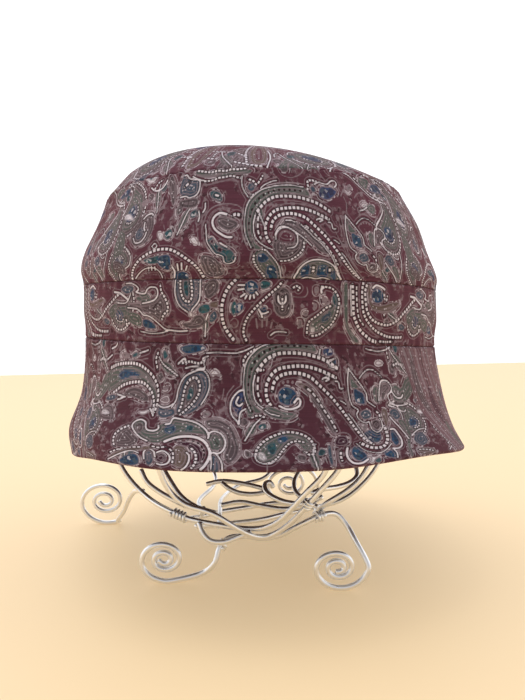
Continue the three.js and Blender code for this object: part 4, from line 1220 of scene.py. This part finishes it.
def printed_cotton():
    """Printed cotton poplin: a dull woven cloth with crisp pale print lines, faint slubs in its threads
    and a soft reddish bloom where it turns away."""
    material, tree = new_material("printed_cotton")
    places = add(tree, "ShaderNodeUVMap", {"uv_map": "spread"}).outputs[0]

    def field(name, output):
        """What the mesh says at each place under that name."""
        return add(tree, "ShaderNodeAttribute", {"attribute_name": name}).outputs[output]

    def between(value, start, end, low=0.0, high=1.0):
        """The value's share of the way from start to end, taken from low to high."""
        share = add(tree, "ShaderNodeMapRange", {"clamp": True}, Value=value, From_Min=start,
                    From_Max=end, To_Min=low, To_Max=high)
        return share.outputs[0]

    def maths(operation, first, second=0.0):
        return add(tree, "ShaderNodeMath", {"operation": operation}, i0=first, i1=second).outputs[0]

    def both(first, second):
        return maths("MULTIPLY", first, second)

    def stripe(value, middle, half, strength):
        """A soft line where the value is near the middle."""
        away = maths("ABSOLUTE", maths("SUBTRACT", value, middle))
        return between(away, half + LINE_SOFTNESS, max(half - LINE_SOFTNESS, 0), 0.0, strength)

    def grains(rows, where):
        """The masks and dyes of a table of grains."""
        return [(both(between(grain, *numbers), where), name) for name, *numbers in rows]

    split = add(tree, "ShaderNodeSeparateXYZ", Vector=field("inks", "Vector"))
    cream, tan, dark = (split.outputs[axis] for axis in "XYZ")
    body = field("body", "Fac")
    filled = add(tree, "ShaderNodeTexNoise", Vector=places, Scale=1 / (FILLED_SIZE * MM), Detail=2.0)
    leaves = add(tree, "ShaderNodeTexNoise", Vector=places, Scale=1 / (LEAF_SIZE * MM), Detail=3.0,
                 Roughness=0.7, Distortion=0.6)
    mosaic = add(tree, "ShaderNodeTexVoronoi", Vector=places, Scale=1 / (GRAIN * MM)).outputs["Color"]
    grain = add(tree, "ShaderNodeSeparateXYZ", Vector=mosaic).outputs["X"]
    dots = add(tree, "ShaderNodeTexVoronoi", Vector=places, Scale=1 / (STIPPLE * MM), Randomness=0.7)

    ground = both(between(filled.outputs[0], *CLOUDED), between(body, *OFF_PATCH))
    leafy = both(between(leaves.outputs[0], *LEAFY), ground)
    inside = between(body, *IN_PATCH)
    clear = both(between(body, *FROM_CLEAR), between(body, *UP_TO_CLEAR))
    from_middle = maths("ABSOLUTE", maths("SUBTRACT", maths("FRACT", field("block", "Fac")), 0.5))
    layers = [
        *grains(LEAFY_GRAINS, leafy),
        # In a patch: lines at even gaps, the grains of one that is kept clear, and a stipple
        (both(stripe(maths("PINGPONG", body, CONTOUR_GAP), *CONTOUR), inside), "tan"),
        *grains(CLEAR_GRAINS, clear),
        (both(between(dots.outputs[0], *DOTTED), inside), "cream"),
        # Round a patch: a line on its edge, a faint one further out, and a flecked one between them
        (stripe(body, *PATCH_LINE), "tan"),
        (both(stripe(body, *FAINT_LINE), ground), "cream"),
        (both(stripe(body, *FLECKED_LINE), between(grain, *FLECKED)), "cream"),
        # The inks, with a fine line beside the pale one and a dark rim round it
        (between(dark, *INK_EDGE), "dark"),
        (stripe(cream, *FINE_LINE), "tan"),
        (between(tan, *INK_EDGE), "tan"),
        (between(cream, *RIM_EDGE), "dark"),
        (both(between(cream, *INK_EDGE), between(from_middle, *BEAD_EDGE)), "cream"),
    ]
    colour = field("dye", "Color")
    for mask, name in layers:
        mixed = add(tree, "ShaderNodeMix", {"data_type": "RGBA"}, i0=mask, i6=colour, i7=linear(DYES[name]))
        colour = mixed.outputs[2]

    # Threads that are thicker for a stretch, and the fading of the whole
    slubs = stretched_noise(tree, places, 1 / (SLUB * MM), 2.0)
    fading = stretched_noise(tree, places, 1 / (FADED_SIZE * MM), 3.0)
    for shade in (widened(tree, slubs, *SLUB_SHADES), widened(tree, fading, *FADED_SHADES)):
        grey = add(tree, "ShaderNodeCombineColor", Red=shade, Green=shade, Blue=shade).outputs[0]
        mixed = add(tree, "ShaderNodeMix", {"data_type": "RGBA", "blend_type": "MULTIPLY"}, i0=1.0,
                    i6=colour, i7=grey)
        colour = mixed.outputs[2]

    warp, weft = (
        add(tree, "ShaderNodeTexWave", {"bands_direction": direction}, Vector=places,
            Scale=WAVE_TEXTURE_PERIOD / (THREAD * MM)).outputs[1]
        for direction in "XY"
    )
    height = maths("ADD", both(warp, weft), slubs)
    bump = add(tree, "ShaderNodeBump", Strength=0.5, Distance=0.15 * MM, Height=height)
    shader = add(tree, "ShaderNodeBsdfPrincipled", Base_Color=colour, Roughness=0.9, IOR=1.45,
                 Normal=bump.outputs[0])
    shader.inputs["Specular IOR Level"].default_value = 0.3
    shader.inputs["Sheen Weight"].default_value = 0.15
    shader.inputs["Sheen Tint"].default_value = linear("#d68a86")
    shader.inputs["Sheen Roughness"].default_value = 0.5
    add(tree, "ShaderNodeOutputMaterial", Surface=shader.outputs[0])
    return material


# How many lines and clouds the metal has to a metre, across the wire and along it, and how rough it is
# from the brightest cloud to the dullest
DRAWN_LINES = (4000, 60)
CLOUDS = (300, 120)
CLOUDY = (0.26, 0.4)


def bent_aluminium():
    """Soft aluminium wire, drawn through a die and bent by hand: bright, a little cloudy, with fine lines
    along its length."""
    material, tree = new_material("bent_aluminium")
    places = add(tree, "ShaderNodeUVMap", {"uv_map": "spread"}).outputs[0]
    lines = stretched_noise(tree, places, DRAWN_LINES, 2.0)
    roughness = widened(tree, stretched_noise(tree, places, CLOUDS, 3.0), *CLOUDY)
    bump = add(tree, "ShaderNodeBump", Strength=0.3, Distance=0.05 * MM, Height=lines)
    shader = add(tree, "ShaderNodeBsdfPrincipled", Base_Color=linear("#f0f1f3"), Metallic=1.0,
                 Roughness=roughness, Normal=bump.outputs[0])
    add(tree, "ShaderNodeOutputMaterial", Surface=shader.outputs[0])
    return material


# The brim's rows that come only once are the painted sheen and painted shade down its right.
PANELS = [
    # The brim's ground is a little darker than the crown's.
    {"node": "brim", "first": HEM, "last": LOWER_SEAM, "length": 52.0, "cloth": BRIM_CLOTH,
     "edges": (1.1, 0.8), "columns": (606, 324), "seams": [1], "ground": "burgundy",
     "print": BRIM_PRINT, "once": SHEEN_SHADE_AND_PRINT},
    {"node": "crown_band", "first": LOWER_SEAM, "last": UPPER_SEAM, "length": 26.2, "cloth": CROWN_CLOTH,
     "edges": (0.8, 0.8), "columns": (780, 460), "seams": [0, 1], "ground": "wine",
     "print": BAND_PRINT, "once": []},
    {"node": "crown_side", "first": UPPER_SEAM, "last": TIP_SEAM, "length": 51.0, "cloth": CROWN_CLOTH,
     "edges": (0.8, 0.8), "columns": (606, 334), "seams": [0, 1], "ground": "wine",
     "print": SIDE_PRINT, "once": []},
]
cotton = printed_cotton()
for panel in PANELS:
    wall_panel(panel, cotton)
tip_panel(cotton)

# The hoop under the tip follows the cloth that lies on it.
HOOP_SHARE = 0.45
HOOP_MIDDLE = TIP_TOP * (1 - HOOP_SHARE)
HOOP_POINTS = 32

# The cage inside the hat: height and reach, from the hoop down to the bowl's rim.
CAGE = [(190, 57), (174, 70), (150, 77.5), (118, 80), (86, 81), (64, 80)]

# Courses of the wires below the ribs. Columns: azimuth, reach, height.
FRONT_LOOP = [
    (27, 78, 55), (22, 74, 46), (17, 67.5, 35.5), (12, 60, 26.5), (4, 53.5, 20), (-4, 57.3, 22),
    (-11, 63.3, 28), (-19, 68, 35), (-28, 69, 36.5), (-33, 72, 41), (-35, 77, 50),
]
FRONT_TWIN = [
    (22.5, 78, 55), (17, 73, 45.5), (12, 66.5, 35.5), (8, 61, 29), (1, 55, 24.5), (-7, 54, 24),
    (-14, 57, 25.5), (-22, 58.5, 26.5), (-34, 60, 27.5), (-42, 62.5, 30), (-51, 65, 32.5),
    (-60, 68, 36.5), (-65, 73, 43), (-68, 77.5, 52),
]
RIGHT_WIRE = [
    (39, 78.5, 54), (37, 76.5, 48.5), (32, 72.5, 42.5), (27, 66.5, 37), (30, 54, 29), (52, 36, 21.5),
    (95, 30, 18.5), (140, 18, 18), (-120, 8, 18), (-72, 24, 18.5), (-56, 38, 20), (-48, 50, 22.5),
]
FLOOR_WIRE = [
    (106, 78, 52), (106, 68, 34), (108, 52, 20), (112, 34, 15.5), (104, 17, 15), (5, 9, 15), (-45, 22, 15),
    (-42, 38, 17.5), (-38, 50, 21),
]
BACK_LEFT_WIRE = [
    (-152, 79, 52), (-152, 72, 34), (-153, 62, 23.5), (-142, 46, 21.5), (-98, 34, 21.8), (-58, 36, 23),
    (-38, 46, 25.5), (-30, 53.5, 31.5),
]
BACK_WIRE = [
    (170, 79, 52), (171, 71, 34), (176, 60, 22), (-168, 55, 19), (-156.5, 44.8, 18), (-139.5, 31.6, 19.2),
    (-100, 22, 21.5), (-50, 27, 22.5), (-27, 43, 23), (-22, 52, 23.5),
]
FRONT_TIE = [
    (-26, 61, 3.6), (-20, 60.5, 9), (-18.5, 58.5, 15.5), (-15, 54.5, 19.5), (-7, 49.5, 19), (2, 46, 17),
    (11, 51.5, 20), (19, 59, 26.5), (27, 63.7, 31.3), (34, 64.5, 30.8), (37, 68.5, 25.5), (37, 74, 20),
]
BACK_LEFT_LEG = [(-106.5, 87, 5), (-102, 80, 12), (-88, 71.5, 24), (-71, 68, 33.5), (-61.5, 66.4, 36.1)]
BACK_RIGHT_LEG = [(155.5, 83.5, 4), (152.5, 83, 10), (154, 80, 21), (163, 74, 31), (169.2, 70, 36)]

# A foot is a scroll of wire standing on edge: from its start angle it winds clockwise, seen from
# the front, and shrinks. A turn angle of 0 is to the right of its centre and 90 is below it.
SCROLL_STEP = 24
SCROLL_SHRINK = 0.75
WIDE, TALL = 1.12, 0.9
FOOT_FLAT = 0.2
WIRE_HALF_FLAT = WIRE / 2 * np.cos(np.pi / 6)
FRONT_LEFT_SCROLL = {"x": -44, "y": -57, "size": 11.5, "start": 75, "turns": 2.25}
FRONT_RIGHT_SCROLL = {"x": 35.5, "y": -65, "size": 12.5, "start": -5, "turns": 2.3}
BACK_LEFT_SCROLL = {"x": -93, "y": 33, "size": 15.5, "start": 60, "turns": 2.3}
BACK_RIGHT_SCROLL = {"x": 19, "y": 74, "size": 15.5, "start": 60, "turns": 2.3}

# Short ends and bends of the wire that show under the brim. Columns: x, y, height.
LOOSE_ENDS = {
    "hook_end": [
        (6.8, -34, 38.7), (5.3, -34, 41.2), (2.8, -36, 40.7), (3.3, -40, 38.3), (6.7, -45, 36.7),
        (12.3, -50, 35.6), (19.1, -55, 36), (22.9, -60, 37.8),
    ],
    "leaf_loop": [
        (-28.4, -6, 33.4), (-20.2, -8, 35.5), (-10.4, -10, 34.9), (-0.8, -12, 33.3), (4.5, -12, 31.2),
        (-2.9, -14, 30.1), (-10.2, -16, 31.1), (-15.5, -16, 33.2), (-19.8, -14, 35.9),
    ],
    "inner_strand": [
        (-48.6, -30, 47.3), (-44.5, -34, 42.2), (-38.3, -40, 35.8), (-30.5, -44, 31.6), (-21.2, -46, 29.2),
    ],
    "outer_strand": [
        (-58.2, -38, 48.1), (-54.9, -40, 42.7), (-49.2, -42, 38.8), (-42.1, -44, 35.4), (-35.4, -44, 32),
    ],
    "short_tie": [
        (-28.1, -54, 26.9), (-26.1, -56, 22.8), (-22.2, -58, 19.7), (-16.2, -58, 19.3), (-9.8, -57, 21.3),
        (-4.2, -55, 23),
    ],
    "right_end": [
        (49.1, -28, 46.9), (49.3, -30, 43.3), (44.7, -34, 40.7), (37.8, -38, 39.7), (31.3, -44, 40.3),
        (25.1, -50, 39.9),
    ],
    "cross_strand": [
        (-19.5, -20, 25.9), (-10.1, -20, 27.5), (1.3, -22, 26), (13.1, -26, 25.5), (23.4, -32, 29.2),
        (31.1, -36, 34.3),
    ],
    "low_strand": [
        (21.7, -10, 41.9), (18.3, -14, 36.4), (19, -20, 32.7), (23.2, -28, 30.7), (28.9, -38, 29.9),
    ],
}

# Thin wire wound round the strands where they meet: from one place to the other, in so many turns.
BINDINGS = {
    "left_binding": ((-41.5, -46.6, 29.9), (-34.5, -49.4, 27.8), 4.5),
    "front_binding": ((21, -65.2, 37.7), (23.2, -66.3, 40.4), 2.5),
    "right_binding": ((26, -58, 30.7), (30, -56.7, 31.2), 3),
    "tie_binding": ((-18, -55, 16), (-16, -53.8, 17.9), 2),
}
BINDING_WIRE = 1.4
COIL_STEPS = 12


def course(rows):
    """The points of a course of (azimuth, reach, height)."""
    azimuth, reach, height = np.array(rows, float).T
    return at(azimuth, reach, height)


def hoop_point(azimuth):
    """The hoop's middle line, just under the tip's inner face."""
    azimuth = np.asarray(azimuth, float)
    depth = np.full(azimuth.shape, CROWN_CLOTH + WIRE_CLEARANCE + WIRE / 2)
    return sunk(climbing_tip, np.full(azimuth.shape, 1 - HOOP_SHARE), azimuth, depth)


def rib(azimuth):
    """From just under the hoop down the cage."""
    height, reach = np.array(CAGE, float).T
    down = at(azimuth, reach, height)
    aim = down[0] - HOOP_MIDDLE
    hoop = hoop_point(np.degrees(np.arctan2(aim[0], -aim[1])))
    towards = (down[0] - hoop) / np.linalg.norm(down[0] - hoop)
    return np.concatenate([[hoop + towards * (WIRE / 2 + WIRE_CLEARANCE)], down])


def scroll(x, y, size, start, turns):
    """A spiral whose radius falls as e to the minus of the turn."""
    angle = np.linspace(start, start + 360 * turns, round(360 * turns / SCROLL_STEP) + 1)
    shrink = size * np.exp(-SCROLL_SHRINK * (angle - start) / 360)
    lowest = size * np.exp(-SCROLL_SHRINK * (max(start, 90) - start) / 360)
    middle = TALL * lowest + WIRE_HALF_FLAT - FOOT_FLAT
    turn = np.radians(angle)
    across, up = x + WIDE * shrink * np.cos(turn), middle - TALL * shrink * np.sin(turn)
    return np.stack([across, np.full(len(angle), y), up], -1)


def coil(start, end, turns):
    """A helix that lies on the wire running from start to end."""
    start, end = np.array(start), np.array(end)
    share = np.linspace(0, 1, round(COIL_STEPS * turns) + 1)[:, None]
    ahead = (end - start) / np.linalg.norm(end - start)
    across = np.cross(ahead, (0, 0, 1)) / np.linalg.norm(np.cross(ahead, (0, 0, 1)))
    turn = 2 * np.pi * turns * share
    out = across * np.cos(turn) + np.cross(ahead, across) * np.sin(turn)
    return start + (end - start) * share + out * (WIRE + BINDING_WIRE) / 2


TUBE_SIDES = 16
TUBE_STEP = 1.0

# A wire's end is rounded to this share of its thickness, and closed by a point that stands out a little.
END_STEPS = 4
END_ROUND = 0.45
END_POINT = 0.3

# A direction along which no wire starts off, from which its first direction across is worked out
NOT_AHEAD = (0.3, 0.5, 0.8)

# Past this many spreads a bell is next to nothing.
BELL_REACH = 3


def carried(path, closed):
    """At each point of the path its direction and two more across it, which turn no more than they must."""
    ahead = np.roll(path, -1, 0) - np.roll(path, 1, 0) if closed else np.gradient(path, axis=0)
    ahead /= np.linalg.norm(ahead, axis=1, keepdims=True)
    across = np.empty_like(path)
    last = np.cross(ahead[0], NOT_AHEAD)
    for step, direction in enumerate(ahead):
        last = last - direction * (last @ direction)
        last /= np.linalg.norm(last)
        across[step] = last
    return ahead, across, np.cross(ahead, across)


def eased(path, spread):
    """The path averaged over its neighbours by a bell of the spread, with its ends kept."""
    reach = int(BELL_REACH * spread / TUBE_STEP)
    weights = bell(np.arange(-reach, reach + 1), spread / TUBE_STEP)
    before, after = 2 * path[0] - path[reach:0:-1], 2 * path[-1] - path[-2:-reach - 2:-1]
    padded = np.concatenate([before, path, after])
    return np.stack([np.convolve(side, weights / weights.sum(), "valid") for side in padded.T], -1)


def wire(name, points, material, ease=0.8, closed=False, thick=WIRE, node=None):
    """A round tube along the smooth path, its ends rounded, kept above what the stand stands on."""
    path = evenly(smooth_path(points, closed, TUBE_STEP), TUBE_STEP)
    if closed:
        path = path[:-1]
    else:
        path = eased(path, ease)
    ahead, across, beside = carried(path, closed)
    half = np.full(len(path), thick / 2)
    if not closed:
        turns = np.linspace(0, np.pi / 2, END_STEPS + 1)[:-1]
        narrowed, pushed = np.cos(turns) * thick / 2, np.sin(turns) * END_ROUND * thick / 2
        first, last = path[0] - ahead[0] * pushed[::-1, None], path[-1] + ahead[-1] * pushed[:, None]
        path = np.concatenate([first, path[1:-1], last])
        repeat = [END_STEPS] + [1] * (len(half) - 2) + [END_STEPS]
        half = np.concatenate([narrowed[::-1], half[1:-1], narrowed])
        ahead, across, beside = (np.repeat(arrows, repeat, 0) for arrows in (ahead, across, beside))
    turn = 2 * np.pi * np.arange(TUBE_SIDES) / TUBE_SIDES
    spokes = across[:, None] * np.cos(turn)[:, None] + beside[:, None] * np.sin(turn)[:, None]
    points = (path[:, None] + spokes * half[:, None, None]).reshape(-1, 3)
    if closed:
        faces = loop_faces(len(path), TUBE_SIDES, True)
    else:
        ends = [path[0] - ahead[0] * END_ROUND * END_POINT, path[-1] + ahead[-1] * END_ROUND * END_POINT]
        points = np.concatenate([points, ends])
        faces = capped_faces(len(path), TUBE_SIDES)
    points[:, 2] = np.maximum(points[:, 2], 0)
    piece = piece_from(f"{name}_tube", points, faces, material, node)
    lengths = np.concatenate([[0], np.cumsum(np.linalg.norm(np.diff(path, axis=0), axis=1))])
    along, round_it = np.meshgrid(lengths, turn * thick / 2, indexing="ij")
    along, round_it = along.ravel(), round_it.ravel()
    if not closed:
        along, round_it = np.append(along, [lengths[0], lengths[-1]]), np.append(round_it, [0, 0])
    lay_out(piece, round_it, along, np.pi * thick)


aluminium = bent_aluminium()
hoop = hoop_point(np.arange(HOOP_POINTS) * 360 / HOOP_POINTS)
wire("top_hoop", hoop, aluminium, closed=True, node="top_hoop")

# The bowl's wires. Columns: the node, its rib's azimuth, its course, and the azimuth of the rib in which
# it ends, if it does.
for node, first, strand, last in (
    ("front_loop", 29, FRONT_LOOP, -36),
    ("front_twin", 22, FRONT_TWIN, -70),
    ("right_wire", 42, RIGHT_WIRE, None),
    ("floor_wire", 106, FLOOR_WIRE, None),
    ("back_left_wire", -152, BACK_LEFT_WIRE, None),
    ("back_wire", 170, BACK_WIRE, None),
):
    ends = [] if last is None else [rib(last)[::-1]]
    wire(node, np.concatenate([rib(first), course(strand), *ends]), aluminium, ease=3.5, node=node)
for node, parts in (
    ("front_feet", [scroll(**FRONT_LEFT_SCROLL)[::-1], course(FRONT_TIE), scroll(**FRONT_RIGHT_SCROLL)]),
    ("back_left_foot", [scroll(**BACK_LEFT_SCROLL)[::-1], course(BACK_LEFT_LEG)]),
    ("back_right_foot", [scroll(**BACK_RIGHT_SCROLL)[::-1], course(BACK_RIGHT_LEG)]),
):
    wire(node, np.concatenate(parts), aluminium, node=node)
for name, points in LOOSE_ENDS.items():
    wire(name, points, aluminium)
for name, binding in BINDINGS.items():
    wire(name, coil(*binding), aluminium, ease=0.4, thick=BINDING_WIRE)

# Looked at from the photograph's place, with its measures in pixels
CAMERA = np.array([1.6, -362.0, 120.0])
FOCAL_PIXELS = 658.0
PICTURE_HIGH = 700.0
HORIZON_ROW = 324.0
SENSOR = 36.0

lens = bpy.data.cameras.new("camera")
lens.sensor_width = SENSOR
lens.lens = FOCAL_PIXELS / PICTURE_HIGH * SENSOR
lens.shift_y = (HORIZON_ROW - PICTURE_HIGH / 2) / PICTURE_HIGH
camera = bpy.data.objects.new("camera", lens)
bpy.context.scene.collection.objects.link(camera)
camera.location = (CAMERA + OFFSET) * MM
camera.rotation_euler = (np.pi / 2, 0, 0)
bpy.context.scene.camera = camera

# The floor ends behind the object at a slant.
FLOOR_CORNERS = [(-3, -3, 0), (3, -3, 0), (3, 2.5, 0), (-3, 0.3, 0)]
floor_mesh = bpy.data.meshes.new("floor")
floor_mesh.from_pydata(FLOOR_CORNERS, [], [(0, 1, 2, 3)])
floor = bpy.data.objects.new("floor", floor_mesh)
bpy.context.scene.collection.objects.link(floor)
paint, tree = new_material("pale_floor")
# A faint glow of its own keeps the shadow on it as light as soft light from all sides would.
FLOOR_COLOUR = linear("#c2ab88")
shader = add(tree, "ShaderNodeBsdfPrincipled", Base_Color=FLOOR_COLOUR, Roughness=0.6,
             Emission_Color=FLOOR_COLOUR, Emission_Strength=0.75)
add(tree, "ShaderNodeOutputMaterial", Surface=shader.outputs[0])
floor_mesh.materials.append(paint)


# Cosines of the angle from the dim direction at which the dimming starts and is full
DIM_FROM = 0.3
DIM_FULL = 0.85


def studio(bright, dim, towards):
    """White all round, and dimmer in the direction towards."""
    world = bpy.data.worlds.new("studio")
    world.use_nodes = True
    tree = world.node_tree
    tree.nodes.clear()
    direction = add(tree, "ShaderNodeTexCoord").outputs["Generated"]
    facing = add(tree, "ShaderNodeVectorMath", {"operation": "DOT_PRODUCT"}, i0=direction, i1=towards)
    power = add(tree, "ShaderNodeMapRange", {"interpolation_type": "SMOOTHSTEP"},
                Value=facing.outputs["Value"], From_Min=DIM_FROM, From_Max=DIM_FULL,
                To_Min=bright, To_Max=dim)
    glow = add(tree, "ShaderNodeBackground", Color=linear("#fbfbfd"), Strength=power.outputs[0])
    add(tree, "ShaderNodeOutputWorld", Surface=glow.outputs[0])
    bpy.context.scene.world = world


def soft_light(name, place, aim, size, power):
    """A round lamp at the place, in metres, turned towards what it aims at."""
    light = bpy.data.lights.new(name, "AREA")
    light.shape = "DISK"
    light.size = size
    light.energy = power
    lamp = bpy.data.objects.new(name, light)
    bpy.context.scene.collection.objects.link(lamp)
    lamp.location = place
    lamp.rotation_euler = (Vector(aim) - Vector(place)).to_track_quat("-Z", "Y").to_euler()


studio(bright=1.3, dim=0.62, towards=(0, -0.97, 0.24))
soft_light("overhead", place=(-0.4, 0.1, 1.4), aim=(0, 0, 0.1), size=0.9, power=4)
bpy.context.scene.view_settings.view_transform = "Standard"
